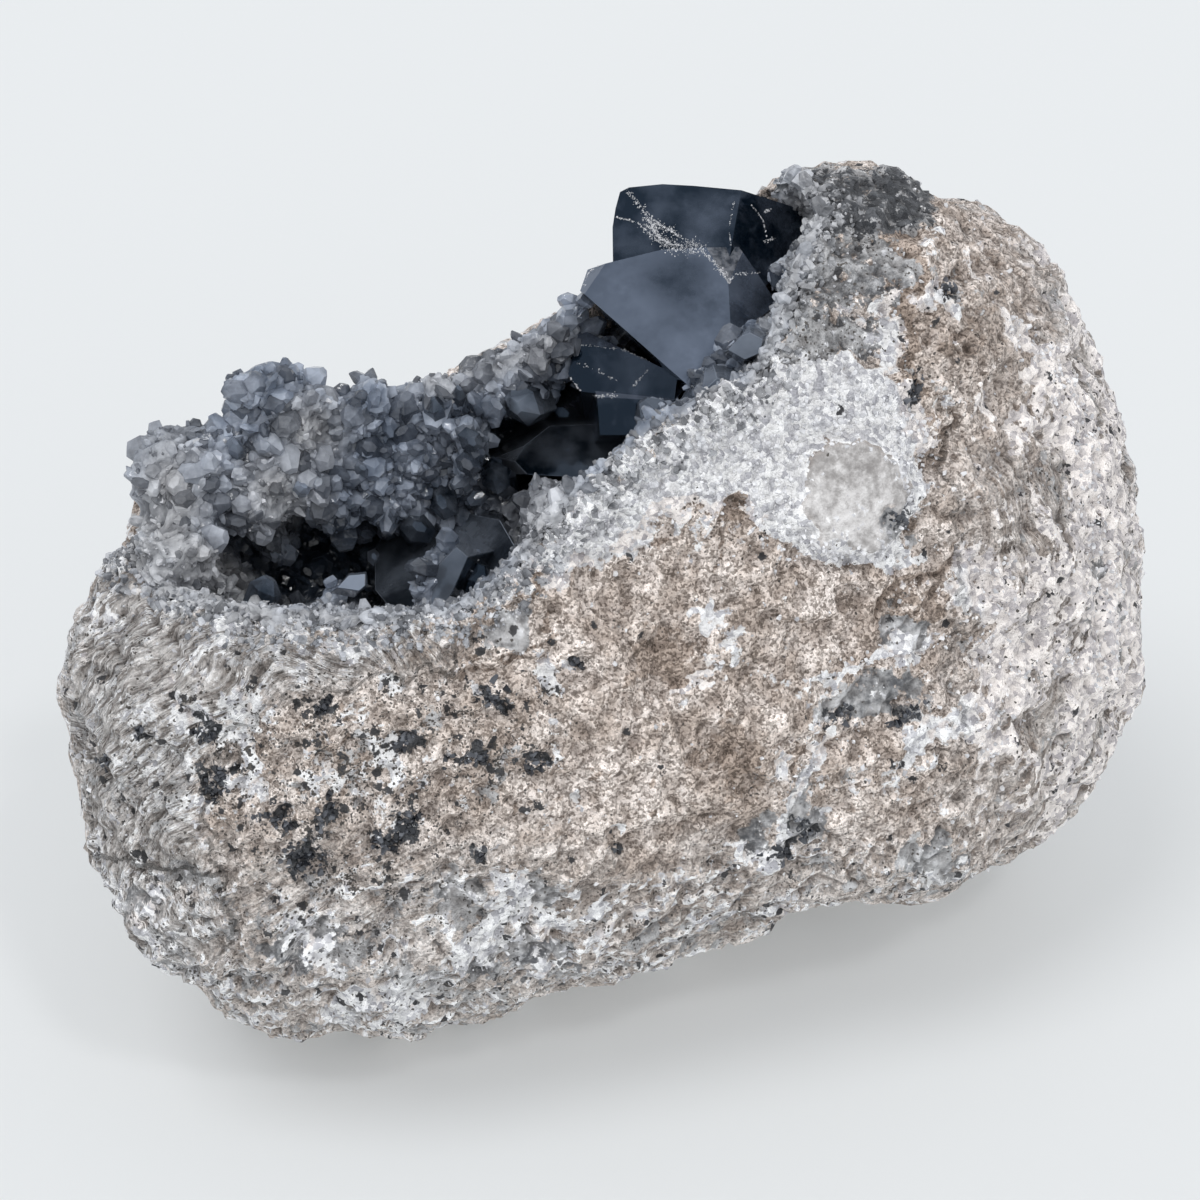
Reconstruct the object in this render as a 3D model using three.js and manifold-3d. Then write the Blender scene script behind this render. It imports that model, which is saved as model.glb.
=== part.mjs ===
// Celestite geode: a rough rock nodule, broken open, with a hollow lined by blue-grey crystals.
//
// Millimetres, +Z up. The geode is shaped in a face frame, looking straight into its hollow:
// x runs to the right across the broken face, y up it and z out of it. It is then leaned back
// on to the flat spot that it rests on.

import * as THREE from "three";
import { ConvexGeometry } from "three/addons/geometries/ConvexGeometry.js";
import { ImprovedNoise } from "three/addons/math/ImprovedNoise.js";
import { mergeVertices } from "three/addons/utils/BufferGeometryUtils.js";
import Module from "manifold-3d";

const wasm = await Module();
wasm.setup();

// ---------------------------------------------------------------- driving dimensions

const LEAN_DEGREES = 32; // how far the face frame's z looks up from level
const SEAT_GAP = 0.3; // between the crust, the large crystals and the rock
const CORNER_GAP = 0.75; // at a large crystal's corners, which leaves about SEAT_GAP at its faces
const FLAT_CUT = 6; // how much of the rounded underside the resting flat takes off
const FLOOR_BLOCK = 400; // side of the block that cuts the flat

// The nodule's outline, seen face on, from its left end clockwise over the top.
const NODULE_OUTLINE = [
  [-104, -20], [-102, -4], [-93, 9], [-92, 24], [-82, 31], [-70, 33], [-60, 40], [-46, 40],
  [-37, 39], [-28, 46], [-10, 55], [12, 69], [36, 84], [47, 88], [57, 88], [66, 81],
  [82, 77], [94, 64], [102, 44], [109, 21], [110, -8], [106, -31], [92, -48], [70, -59],
  [39, -64], [20, -72], [-8, -78], [-36, -86], [-70, -84], [-87, -69], [-98, -45],
];
const NODULE_CENTRE = new THREE.Vector2(0, -4);
const NODULE_FRONT_DEPTH = 59;
const NODULE_BACK_DEPTH = 60;
const NODULE_SQUARENESS = 2.9; // 2 is an ellipsoid, more is boxier
const NODULE_DETAIL = 11;
const NODULE_SWELLS = [ // uneven growth: how far apart its lumps are, and how high
  { wavelength: 46, height: 5, seed: 1 },
  { wavelength: 19, height: 2.6, seed: 5 },
];
const OUTLINE_SWELL = 0.3; // share of the swells that reaches the outline itself
const SLANT_ACROSS = -0.25; // the right end stands further back
const SLANT_UP = 0.12; // the top stands further forward

// Where the front wall is broken away: everything left of and above this line is open.
const RIM_LINE = [
  [-110, 24], [-93, 12], [-85, 3], [-72, -3], [-56, -4], [-40, -4.5], [-30, -3.5], [-22, 0],
  [-16, 5], [-10, 12], [-2, 20], [8, 29], [18, 36], [30, 42], [35, 52], [38, 62], [43, 71],
  [43, 78], [36, 88],
];
const RIM_BACK = 5; // depth, from the nodule's middle, at which the back wall still stands
const OPEN_DEPTH = 140; // from the back wall to well clear of the front
const OPEN_CORNERS = [[30, 130], [-140, 130], [-140, 24]];

// The hollow behind the broken wall, as two round chambers that run into each other.
const CHAMBERS = [
  { centre: [-47, 7, 8], radii: [38, 23, 27], seed: 3 },
  { centre: [3, 29, -2], radii: [31, 25, 33], seed: 7 },
];
const CHAMBER_DETAIL = 3;
const CHAMBER_SWELL = { wavelength: 24, height: 4 };
const CRUST_THICKNESS = 5;
const RIM_CRUST_THICKNESS = 2.6;
const CRUST_LUMPS = { wavelength: 11, height: 3 };

// ---------------------------------------------------------------- solids and meshes

const noise = new ImprovedNoise();
const random = () => THREE.MathUtils.seededRandom();
const randomBetween = (low, high) => low + (high - low) * random();

function solidOf(geometry) {
  const bare = geometry.clone();
  for (const attribute of Object.keys(bare.attributes)) {
    if (attribute !== "position") bare.deleteAttribute(attribute);
  }
  const merged = mergeVertices(bare, 1e-4);
  return new wasm.Manifold(new wasm.Mesh({
    numProp: 3,
    vertProperties: merged.attributes.position.array,
    triVerts: new Uint32Array(merged.index.array),
  }));
}

function geometryOf(solid) {
  const mesh = solid.getMesh();
  const geometry = new THREE.BufferGeometry();
  geometry.setAttribute("position", new THREE.BufferAttribute(mesh.vertProperties, 3));
  geometry.setIndex(new THREE.BufferAttribute(mesh.triVerts, 1));
  geometry.computeVertexNormals();
  return geometry;
}

function joined(solids) {
  return solids.reduce((all, solid) => all.add(solid));
}

// The main body of a solid, without the specks that joins and cuts can leave beside it.
function mainBody(solid) {
  return solid.decompose().reduce((main, body) => (body.volume() > main.volume() ? body : main));
}

// Moves every vertex of a geometry by a function of its position.
function reshape(geometry, move) {
  const positions = geometry.attributes.position;
  const point = new THREE.Vector3();
  for (let i = 0; i < positions.count; i += 1) {
    point.fromBufferAttribute(positions, i);
    move(point);
    positions.setXYZ(i, point.x, point.y, point.z);
  }
  return geometry;
}

function lumpiness(point, wavelength, seed) {
  const scale = 1 / wavelength;
  return noise.noise(point.x * scale + seed, point.y * scale + 2 * seed, point.z * scale - seed);
}

// The whole nodule, hollow and all, slants as the block that it broke from did.
function slant(point) {
  point.z += SLANT_ACROSS * point.x + SLANT_UP * point.y;
}

function depthOf(point) {
  return point.z - SLANT_ACROSS * point.x - SLANT_UP * point.y;
}

// ---------------------------------------------------------------- the nodule

// Distance from the nodule's centre to its outline, by direction.
function outlineReach() {
  const corners = NODULE_OUTLINE.map(([x, y]) => new THREE.Vector3(x, y, 0));
  const curve = new THREE.CatmullRomCurve3(corners, true);
  const samples = curve.getPoints(24 * NODULE_OUTLINE.length).map((point) => {
    const x = point.x - NODULE_CENTRE.x;
    const y = point.y - NODULE_CENTRE.y;
    return { angle: Math.atan2(y, x), reach: Math.hypot(x, y) };
  });
  samples.sort((a, b) => a.angle - b.angle);
  return (angle) => {
    const next = samples.findIndex((sample) => sample.angle > angle);
    if (next <= 0) return samples[0].reach;
    const low = samples[next - 1];
    const high = samples[next];
    const share = (angle - low.angle) / (high.angle - low.angle || 1);
    return THREE.MathUtils.lerp(low.reach, high.reach, share);
  };
}

// Lumps, ledges and pits on the front: centre across and up, radius, height out of the face.
const FRONT_RELIEF = [
  [50, 20, 12, 3.5], [-14, -72, 9, 4], [-60, -72, 12, 2.5], [30, 0, 22, -2.5], [58, -42, 10, 3],
  [72, -25, 12, -3], [88, 5, 10, 3.5], [60, 50, 9, -3], [76, 62, 9, 3.5], [-72, -18, 12, 2.5],
  [-42, -44, 8, -3], [-24, -20, 9, 3], [8, -45, 14, 2.5], [92, -20, 9, -2.5], [66, 6, 8, -3],
];

// Broad faces where the rounded block is worn flat: outward direction and distance from its middle.
const WORN_FACES = [
  { out: [-0.84, -0.12, 0.53], distance: 96 },
  { out: [0.62, -0.56, 0.55], distance: 92 },
  { out: [0.1, 0.5, -0.86], distance: 62 },
  { out: [0.8, 0.25, -0.54], distance: 96 },
  { out: [-0.75, -0.3, -0.59], distance: 92 },
  { out: [-0.45, 0.62, 0.64], distance: 53 },
];
const WEAR = 0.75; // how far a worn face is planed back, 1 being dead flat

function wearDown(point) {
  for (const { out, distance } of WORN_FACES) {
    const face = new THREE.Vector3(...out).normalize();
    const proud = point.dot(face) - distance;
    if (proud > 0) point.addScaledVector(face, -WEAR * proud);
  }
}

function reliefAt(point) {
  let height = 0;
  for (const [x, y, radius, rise] of FRONT_RELIEF) {
    const distance = Math.hypot(point.x - x, point.y - y) / radius;
    height += rise * Math.exp(-distance * distance);
  }
  return height;
}

function noduleBody() {
  const reach = outlineReach();
  const power = 2 / NODULE_SQUARENESS;
  const ball = new THREE.IcosahedronGeometry(1, NODULE_DETAIL);
  reshape(ball, (point) => {
    const across = Math.hypot(point.x, point.y) || 1e-9;
    const spread = reach(Math.atan2(point.y, point.x)) * across ** (power - 1);
    const side = Math.sign(point.z);
    const out = Math.abs(point.z);
    const depth = side > 0 ? NODULE_FRONT_DEPTH : NODULE_BACK_DEPTH;
    point.x = point.x * spread + NODULE_CENTRE.x;
    point.y = point.y * spread + NODULE_CENTRE.y;
    point.z = side * depth * out ** power;
    wearDown(point);
    let swell = 0;
    for (const { wavelength, height, seed } of NODULE_SWELLS) {
      swell += height * lumpiness(point, wavelength, seed);
    }
    const outward = point.clone().normalize();
    point.addScaledVector(outward, swell * THREE.MathUtils.lerp(OUTLINE_SWELL, 1, out));
    if (side > 0) point.z += reliefAt(point) * out;
    slant(point);
  });
  return solidOf(ball);
}

// ---------------------------------------------------------------- the hollow

// A line moved towards the open side by a distance.
function movedLine(line, distance) {
  return line.map(([x, y], i) => {
    const [x0, y0] = line[Math.max(i - 1, 0)];
    const [x1, y1] = line[Math.min(i + 1, line.length - 1)];
    const length = Math.hypot(x1 - x0, y1 - y0);
    return [x - (distance * (y1 - y0)) / length, y + (distance * (x1 - x0)) / length];
  });
}

// The room in front of the back wall, its edge moved in by `inset` and its back by `lift`.
function openSide(inset, lift) {
  const line = movedLine(RIM_LINE, inset);
  const shape = new THREE.Shape();
  shape.moveTo(...line[0]);
  shape.splineThru(line.slice(1).map(([x, y]) => new THREE.Vector2(x, y)));
  for (const [x, y] of OPEN_CORNERS) shape.lineTo(x, y);
  const cut = { depth: OPEN_DEPTH, bevelEnabled: false, curveSegments: 2 };
  const room = new THREE.ExtrudeGeometry(shape, cut);
  reshape(room, (point) => {
    point.z += RIM_BACK + lift;
    slant(point);
  });
  return solidOf(room);
}

// One chamber, shrunk by `inset`, with lumps up to `lumpHeight` on its wall.
function chamber({ centre, radii, seed }, inset, lumpHeight) {
  const ball = new THREE.IcosahedronGeometry(1, CHAMBER_DETAIL);
  reshape(ball, (point) => {
    const wall = new THREE.Vector3(...radii).multiply(point);
    const swell = CHAMBER_SWELL.height * lumpiness(wall, CHAMBER_SWELL.wavelength, seed);
    const lump = lumpHeight * (0.5 + lumpiness(wall, CRUST_LUMPS.wavelength, seed + 9));
    point.copy(wall).addScaledVector(wall.clone().normalize(), swell - inset - lump);
    point.add(new THREE.Vector3(...centre));
    slant(point);
  });
  return solidOf(ball);
}

function hollow(inset, rimInset, lumpHeight) {
  const chambers = CHAMBERS.map((one) => chamber(one, inset, lumpHeight));
  return joined([openSide(rimInset, inset), ...chambers]);
}

// ---------------------------------------------------------------- crystals

const ROOT_TAPER = 0.85; // a crystal's root against its shoulders

// A blocky celestite crystal on its base, pointing along +z: a flattened six-sided prism that
// ends in a short ridge.
function crystal({ width, thickness, length, tip, ridge }) {
  const points = [];
  for (let i = 0; i < 6; i += 1) {
    const angle = (i / 6) * 2 * Math.PI;
    const x = (width / 2) * Math.cos(angle);
    const y = (thickness / Math.sqrt(3)) * Math.sin(angle);
    points.push(new THREE.Vector3(ROOT_TAPER * x, ROOT_TAPER * y, 0));
    points.push(new THREE.Vector3(x, y, length - tip));
  }
  points.push(new THREE.Vector3(-0.5 * ridge, 0, length), new THREE.Vector3(0.5 * ridge, 0, length));
  return new ConvexGeometry(points);
}

function pointedFrom(geometry, base, direction, turn) {
  const along = new THREE.Vector3(0, 0, 1);
  const aim = new THREE.Quaternion().setFromUnitVectors(along, direction.clone().normalize());
  const roll = new THREE.Quaternion().setFromAxisAngle(along, turn);
  const place = new THREE.Matrix4().compose(base, aim.multiply(roll), new THREE.Vector3(1, 1, 1));
  return geometry.applyMatrix4(place);
}

// The group of large crystals, each one the hull of its corners in the face frame.
const LARGE_CRYSTALS = [
  { // the broad front one
    corners: [
      [-3.4, 61.4, 30], [0.5, 68, 28], [12, 70.4, 25], [18, 70, 24], [26, 64, 29], [25.4, 50, 36],
      [18, 42, 40], [33, 65.4, 20], [37, 58, 23], [35, 54, 26], [-5, 59, 16], [14.5, 39.5, 20],
      [2, 62, 6], [22, 68, 6], [34, 56, 4], [24, 40, 2], [8, 46, 2],
    ],
  },
  { // the tall one behind it
    corners: [
      [2.6, 79, 16], [4.4, 81.6, 14], [8, 83, 12], [29.6, 82, 16], [30, 66, 26], [3, 62, 24],
      [35, 82.2, 10], [43, 73, 13], [40, 69, 17], [35, 60, 22], [5, 78, 2], [32, 80, 3],
      [40, 70, 5], [6, 58, 2], [32, 56, 2],
    ],
  },
  { // the dark one under its left corner
    corners: [
      [-7.6, 52, 14], [-2, 55, 12], [7, 53, 10], [8, 44, 16], [-2, 41.6, 18], [-6, 45, 17],
      [-2, 50, -8], [8, 46, -8],
    ],
  },
  { // and the one beside that, deeper in the hollow's mouth
    corners: [
      [0, 46, 24], [8, 49, 20], [15, 44, 22], [13, 38, 26], [4, 36, 26], [2, 44, -4],
      [14, 42, -4],
    ],
  },
];

// The group, with every corner pushed out from its crystal's middle by `grow`.
function largeCrystals(grow) {
  const solids = LARGE_CRYSTALS.map(({ corners }) => {
    const points = corners.map((corner) => new THREE.Vector3(...corner));
    const middle = new THREE.Vector3();
    for (const point of points) middle.addScaledVector(point, 1 / points.length);
    for (const point of points) {
      const outward = point.clone().sub(middle).normalize();
      point.addScaledVector(outward, grow);
    }
    return solidOf(new ConvexGeometry(points));
  });
  return joined(solids);
}

// Medium crystals on the back wall: base and tip across and up the face, and how far the tip
// stands out of the wall.
const WALL_CRYSTALS = [
  { base: [0, 35], tip: [-16, 27], out: 6, width: 9, thickness: 7 },
  { base: [-31, 37], tip: [-32, 43], out: 8, width: 6, thickness: 5 },
  { base: [-25, 30], tip: [-27, 34], out: 7, width: 6, thickness: 5 },
  { base: [-28, 16], tip: [-31, 22], out: 9, width: 9, thickness: 7 },
  { base: [-45, 6], tip: [-46, 10], out: 7, width: 6, thickness: 5 },
];

// Medium crystals behind the broken rim: root and tip in the face frame.
const RIM_CRYSTALS = [
  { root: [-30, -4, 34], tip: [-30, 11, 38], width: 15, thickness: 7 },
  { root: [-52, -4, 36], tip: [-50, 5, 38], width: 7, thickness: 5 },
  { root: [-66, -3, 34], tip: [-63, 4, 37], width: 7, thickness: 5 },
  { root: [13, 32, 36], tip: [8, 38, 38], width: 8, thickness: 6 },
  { root: [24, 38.5, 38], tip: [17, 45, 41], width: 9, thickness: 7 },
  { root: [30, 42, 36], tip: [23, 49, 40], width: 9, thickness: 7 },
  { root: [36, 49, 32], tip: [27, 53, 38], width: 9, thickness: 8 },
  { root: [39.5, 59, 28], tip: [33, 64, 31], width: 8, thickness: 6 },
];

const MEDIUM_TURN = 0.4; // radians about its own length

// Rounded growths of druse: centre in the face frame, measured from the slanted back wall, and radii.
const DRUSE_LUMPS = [
  { centre: [-79, 24, 6], radii: [13, 11, 11] },
  { centre: [-61, 37, 6], radii: [11, 9, 10] },
  { centre: [-66, 19, 6], radii: [8, 8, 11] },
  { centre: [-47, 36, 4], radii: [9, 7, 8] },
  { centre: [-33, 37, 3], radii: [10, 7, 8] },
  { centre: [-38, 24, 2], radii: [12, 11, 11] },
  { centre: [-53, 20, 3], radii: [8, 9, 9] },
  { centre: [-17, 44, 3], radii: [11, 8, 8] },
  { centre: [-8, 12, 18], radii: [10, 14, 12] },
  { centre: [-81, 9, 12], radii: [9, 8, 12] },
];

const LUMP_ROUGHNESS = 0.35;

const LINING_CRYSTALS = 24;
const LINING_LEAN = 0.42; // how far they lean away from square to the wall
const LINING_ROOT = 0.35; // share of their length that is sunk in the lining
const RIM_DEPTH = 30; // lining crystals stay deeper than this, clear of the broken rim
const HOLLOW_MIDDLE = new THREE.Vector3(-30, 14, 14);
const IN_FRONT = 150; // well clear of the front, where a look for the wall starts

// Finds where a line first meets the lining.
function wallFinder(lining) {
  const bothSides = new THREE.MeshBasicMaterial({ side: THREE.DoubleSide });
  const wall = new THREE.Mesh(geometryOf(lining), bothSides);
  const caster = new THREE.Raycaster();
  return (origin, direction) => {
    caster.set(origin, direction.clone().normalize());
    const hit = caster.intersectObject(wall)[0];
    return hit && { point: hit.point, normal: hit.face.normal };
  };
}

function druseLumps() {
  return DRUSE_LUMPS.map(({ centre, radii }, i) => {
    const ball = new THREE.IcosahedronGeometry(1, 1);
    reshape(ball, (point) => {
      point.multiplyScalar(1 + LUMP_ROUGHNESS * lumpiness(point, 0.6, i + 2));
      point.multiply(new THREE.Vector3(...radii)).add(new THREE.Vector3(...centre));
      slant(point);
    });
    return solidOf(ball);
  });
}

// A medium crystal from its root to its tip.
function mediumCrystal(root, tip, width, thickness) {
  const reach = tip.clone().sub(root);
  const length = reach.length();
  const shape = crystal({ width, thickness, length, tip: 0.45 * width, ridge: 0.4 * width });
  return solidOf(pointedFrom(shape, root, reach, MEDIUM_TURN));
}

function wallCrystals(findWall) {
  return WALL_CRYSTALS.map(({ base, tip, out, width, thickness }) => {
    const wall = findWall(new THREE.Vector3(...base, IN_FRONT), new THREE.Vector3(0, 0, -1));
    const reach = new THREE.Vector3(tip[0] - base[0], tip[1] - base[1], out);
    const sunk = reach.clone().normalize().multiplyScalar(0.6 * CRUST_THICKNESS);
    const root = wall.point.clone().sub(sunk);
    return mediumCrystal(root, wall.point.clone().add(reach), width, thickness);
  });
}

function rimCrystals() {
  return RIM_CRYSTALS.map(({ root, tip, width, thickness }) =>
    mediumCrystal(new THREE.Vector3(...root), new THREE.Vector3(...tip), width, thickness));
}

function liningCrystals(findWall) {
  THREE.MathUtils.seededRandom(41);
  const solids = [];
  while (solids.length < LINING_CRYSTALS) {
    const fromFront = solids.length % 3 > 0;
    const origin = fromFront
      ? new THREE.Vector3(randomBetween(-94, 34), randomBetween(-4, 60), IN_FRONT)
      : HOLLOW_MIDDLE.clone();
    const aim = fromFront
      ? new THREE.Vector3(0, 0, -1)
      : new THREE.Vector3(randomBetween(-1, 1), randomBetween(-1, 0.6), randomBetween(-1, 0.6));
    const width = randomBetween(5.5, 10.5);
    const wall = findWall(origin, aim);
    if (!wall || depthOf(wall.point) > RIM_DEPTH) continue;
    const lean = new THREE.Vector3(randomBetween(-1, 1), randomBetween(-1, 1), randomBetween(-1, 1));
    const direction = wall.normal.clone().addScaledVector(lean, LINING_LEAN).normalize();
    const length = width * randomBetween(1.3, 1.8);
    const shape = crystal({
      width,
      thickness: width * randomBetween(0.6, 0.85),
      length,
      tip: width * 0.4,
      ridge: width * randomBetween(0.1, 0.5),
    });
    const root = wall.point.clone().addScaledVector(direction, -LINING_ROOT * length);
    solids.push(solidOf(pointedFrom(shape, root, direction, randomBetween(0, Math.PI))));
  }
  return solids;
}

// ---------------------------------------------------------------- putting it together

function restingFlat(body) {
  const lean = THREE.MathUtils.degToRad(LEAN_DEGREES);
  const up = new THREE.Vector3(0, Math.cos(lean), Math.sin(lean));
  const positions = geometryOf(body).attributes.position;
  let lowest = Infinity;
  for (let i = 0; i < positions.count; i += 1) {
    lowest = Math.min(lowest, new THREE.Vector3().fromBufferAttribute(positions, i).dot(up));
  }
  const block = new THREE.BoxGeometry(FLOOR_BLOCK, FLOOR_BLOCK, FLOOR_BLOCK);
  block.translate(0, 0, lowest + FLAT_CUT - FLOOR_BLOCK / 2);
  block.rotateX(lean - Math.PI / 2);
  return solidOf(block);
}

const body = noduleBody();
const socket = largeCrystals(CORNER_GAP);
const flat = restingFlat(body);

const rock = body.subtract(hollow(0, 0, 0)).subtract(socket).subtract(flat);

const room = hollow(SEAT_GAP, SEAT_GAP, 0);
const air = hollow(CRUST_THICKNESS, RIM_CRUST_THICKNESS, CRUST_LUMPS.height);
const lining = body.intersect(room).subtract(air);
const findWall = wallFinder(lining);
const growth = joined([
  lining,
  ...druseLumps(),
  ...wallCrystals(findWall),
  ...rimCrystals(),
  ...liningCrystals(findWall),
]);
const crust = mainBody(growth.intersect(room).subtract(socket));

function part(name, solid, color, roughness) {
  const look = { color, roughness, metalness: 0, flatShading: true };
  const material = new THREE.MeshStandardMaterial(look);
  const mesh = new THREE.Mesh(geometryOf(solid), material);
  mesh.name = name;
  return mesh;
}

const geode = new THREE.Group();
geode.add(part("nodule", rock, 0xb2a8a1, 0.92));
geode.add(part("crystal_crust", crust, 0x8b939c, 0.35));
geode.add(part("large_crystals", largeCrystals(0), 0x58616f, 0.12));
geode.rotation.x = Math.PI / 2 - THREE.MathUtils.degToRad(LEAN_DEGREES);

// The origin is the middle of the box's underside.
const stand = new THREE.Group();
stand.add(geode);
stand.updateMatrixWorld(true);
const box = new THREE.Box3().setFromObject(stand, true);
geode.position.set(-(box.min.x + box.max.x) / 2, -(box.min.y + box.max.y) / 2, -box.min.z);

export default stand;
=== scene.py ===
"""A celestite geode: a rough rock nodule, broken open, its hollow lined with blue-grey crystals.

Lengths are metres. Places on the geode are given in millimetres in the face frame: u across the
broken face, v up it and w out of it, from the middle of the face.
"""

import math
from functools import reduce

import bpy
import numpy as np
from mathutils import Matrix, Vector, noise
from mathutils.bvhtree import BVHTree


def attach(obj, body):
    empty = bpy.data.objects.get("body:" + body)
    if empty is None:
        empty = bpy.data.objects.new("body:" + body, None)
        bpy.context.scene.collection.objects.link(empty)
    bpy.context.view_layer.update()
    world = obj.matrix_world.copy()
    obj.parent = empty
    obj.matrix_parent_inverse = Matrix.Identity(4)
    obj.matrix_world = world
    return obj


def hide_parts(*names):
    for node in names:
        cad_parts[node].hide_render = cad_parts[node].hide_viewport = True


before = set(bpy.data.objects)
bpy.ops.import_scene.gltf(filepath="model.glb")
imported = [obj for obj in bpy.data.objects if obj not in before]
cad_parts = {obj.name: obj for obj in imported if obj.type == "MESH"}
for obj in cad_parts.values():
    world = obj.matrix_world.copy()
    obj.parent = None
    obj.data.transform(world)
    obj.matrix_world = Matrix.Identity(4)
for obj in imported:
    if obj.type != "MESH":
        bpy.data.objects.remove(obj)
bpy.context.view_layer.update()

LEAN = math.radians(32)
ACROSS = np.array((1.0, 0.0, 0.0))
UPWARD = np.array((0.0, math.sin(LEAN), math.cos(LEAN)))
OUTWARD = np.array((0.0, -math.cos(LEAN), math.sin(LEAN)))
FACE_MIDDLE = np.array((-0.00318, 0.00458, 0.08087))
CAMERA_DISTANCE = 0.8
MM = 0.001
CELESTITE_IOR = 1.62


def at(u, v, w=0.0):
    """The point of the face frame in metres."""
    return FACE_MIDDLE + MM * (ACROSS * u + UPWARD * v + OUTWARD * w)


def seen(u, v, w):
    """The point at a height that shows at a place on the face, looking square on."""
    nearness = 1 - w * MM / CAMERA_DISTANCE
    return at(u * nearness, v * nearness, w)


def across_face(points):
    """Where points show on the face, looking square on: u, v, and their height w out of it."""
    offset = (points - FACE_MIDDLE) / MM
    u, v, w = offset @ ACROSS, offset @ UPWARD, offset @ OUTWARD
    nearness = 1 - w * MM / CAMERA_DISTANCE
    return u / nearness, v / nearness, w


# ---------------------------------------------------------------- working on meshes


def pick(piece):
    bpy.ops.object.select_all(action="DESELECT")
    piece.select_set(True)
    bpy.context.view_layer.objects.active = piece


def finish_with(piece, kind, **settings):
    """Adds a modifier and applies it."""
    modifier = piece.modifiers.new(kind, kind)
    for name, value in settings.items():
        setattr(modifier, name, value)
    pick(piece)
    bpy.ops.object.modifier_apply(modifier=modifier.name)


def piece_from(name, mesh):
    piece = bpy.data.objects.new(name, mesh)
    bpy.context.scene.collection.objects.link(piece)
    return piece


def copy_of(node, name):
    """A merged copy of a CAD node, to be dressed."""
    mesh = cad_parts[node].data.copy()
    mesh.materials.clear()
    piece = piece_from(name, mesh)
    pick(piece)
    bpy.ops.object.mode_set(mode="EDIT")
    bpy.ops.mesh.select_all(action="SELECT")
    bpy.ops.mesh.remove_doubles(threshold=1e-6)
    bpy.ops.object.mode_set(mode="OBJECT")
    return piece


def vectors(items, field, count):
    flat = np.empty(count * 3, np.float32)
    items.foreach_get(field, flat)
    return flat.reshape(-1, 3).astype(float)


def points_of(piece):
    return vectors(piece.data.vertices, "co", len(piece.data.vertices))


def normals_of(piece):
    return vectors(piece.data.vertex_normals, "vector", len(piece.data.vertices))


def edit_faces(piece, picked):
    """Opens a piece for editing, with the picked faces selected."""
    pick(piece)
    bpy.ops.object.mode_set(mode="EDIT")
    bpy.ops.mesh.select_mode(type="FACE")
    bpy.ops.mesh.select_all(action="DESELECT")
    bpy.ops.object.mode_set(mode="OBJECT")
    piece.data.polygons.foreach_set("select", np.array(picked))
    bpy.ops.object.mode_set(mode="EDIT")


def refine(piece, chosen):
    """Divides the faces whose corners are all chosen into finer ones."""
    edit_faces(piece, [all(chosen[i] for i in face.vertices) for face in piece.data.polygons])
    bpy.ops.mesh.subdivide(number_cuts=1)
    bpy.ops.object.mode_set(mode="OBJECT")


def raise_by(piece, weights, height):
    """Raises the surface by a height in millimetres where the weights are 1."""
    group = piece.vertex_groups.new(name="raise")
    for i in np.nonzero(weights > 0.001)[0]:
        group.add([int(i)], float(weights[i]), "REPLACE")
    finish_with(piece, "DISPLACE", strength=height * MM, mid_level=0.0, vertex_group=group.name)
    piece.vertex_groups.clear()


def keep_values(piece, name, *channels):
    """Keeps up to four values per vertex as one colour attribute."""
    values = np.zeros((len(piece.data.vertices), 4), np.float32)
    for i, channel in enumerate(channels):
        values[:, i] = channel
    attribute = piece.data.attributes.new(name, "FLOAT_COLOR", "POINT")
    attribute.data.foreach_set("color", values.ravel())


def tree_of(piece):
    """The piece's surface, for finding where a line meets it."""
    points = points_of(piece)
    return BVHTree.FromPolygons(points.tolist(), [tuple(f.vertices) for f in piece.data.polygons])


def meet(tree, u, v):
    """Where the line of sight through a place on the face meets a surface, and its normal."""
    eye = Vector(FACE_MIDDLE + OUTWARD * CAMERA_DISTANCE)
    aim = Vector(at(u, v)) - eye
    place, normal, _, _ = tree.ray_cast(eye, aim.normalized())
    return place, normal


# ---------------------------------------------------------------- marking the surface


def to_line(u, v, line):
    """Distance of each place to a line of points across the face."""
    nearest = np.full(len(u), 1e9)
    for (u0, v0), (u1, v1) in zip(line, line[1:]):
        du, dv = u1 - u0, v1 - v0
        share = np.clip(((u - u0) * du + (v - v0) * dv) / (du * du + dv * dv + 1e-9), 0, 1)
        nearest = np.minimum(nearest, np.hypot(u - u0 - share * du, v - v0 - share * dv))
    return nearest


def stroke(u, v, line, radius):
    """1 along a line, 0.5 at its radius and 0 at twice that."""
    return np.clip(1 - 0.5 * to_line(u, v, line) / radius, 0, 1)


def spot(u, v, centre, radii, turn=0.0):
    """1 in the middle of an oval, 0.5 on its edge and 0 at twice its size."""
    c, s = math.cos(math.radians(turn)), math.sin(math.radians(turn))
    du, dv = u - centre[0], v - centre[1]
    reach = np.hypot((c * du + s * dv) / radii[0], (c * dv - s * du) / radii[1])
    return np.clip(1 - 0.5 * reach, 0, 1)


def region(u, v, corners, soft):
    """1 deep inside an outline, 0.5 on it and 0 outside, over a soft width."""
    inside = np.zeros(len(u), bool)
    for (u0, v0), (u1, v1) in zip(corners, corners[1:] + corners[:1]):
        crosses = (v0 > v) != (v1 > v)
        inside ^= crosses & (u < (u1 - u0) * (v - v0) / (v1 - v0 + 1e-12) + u0)
    distance = to_line(u, v, corners + corners[:1])
    return np.clip(0.5 + np.where(inside, distance, -distance) / (2 * soft), 0, 1)


def most(*fields):
    """The greatest of some values at each point."""
    return reduce(np.maximum, fields)


def strokes(u, v, table):
    """The strongest of many strokes."""
    return most(*[stroke(u, v, *one) for one in table])


def spots(u, v, table):
    """The strongest of many spots."""
    return most(*[spot(u, v, *one) for one in table])


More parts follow.
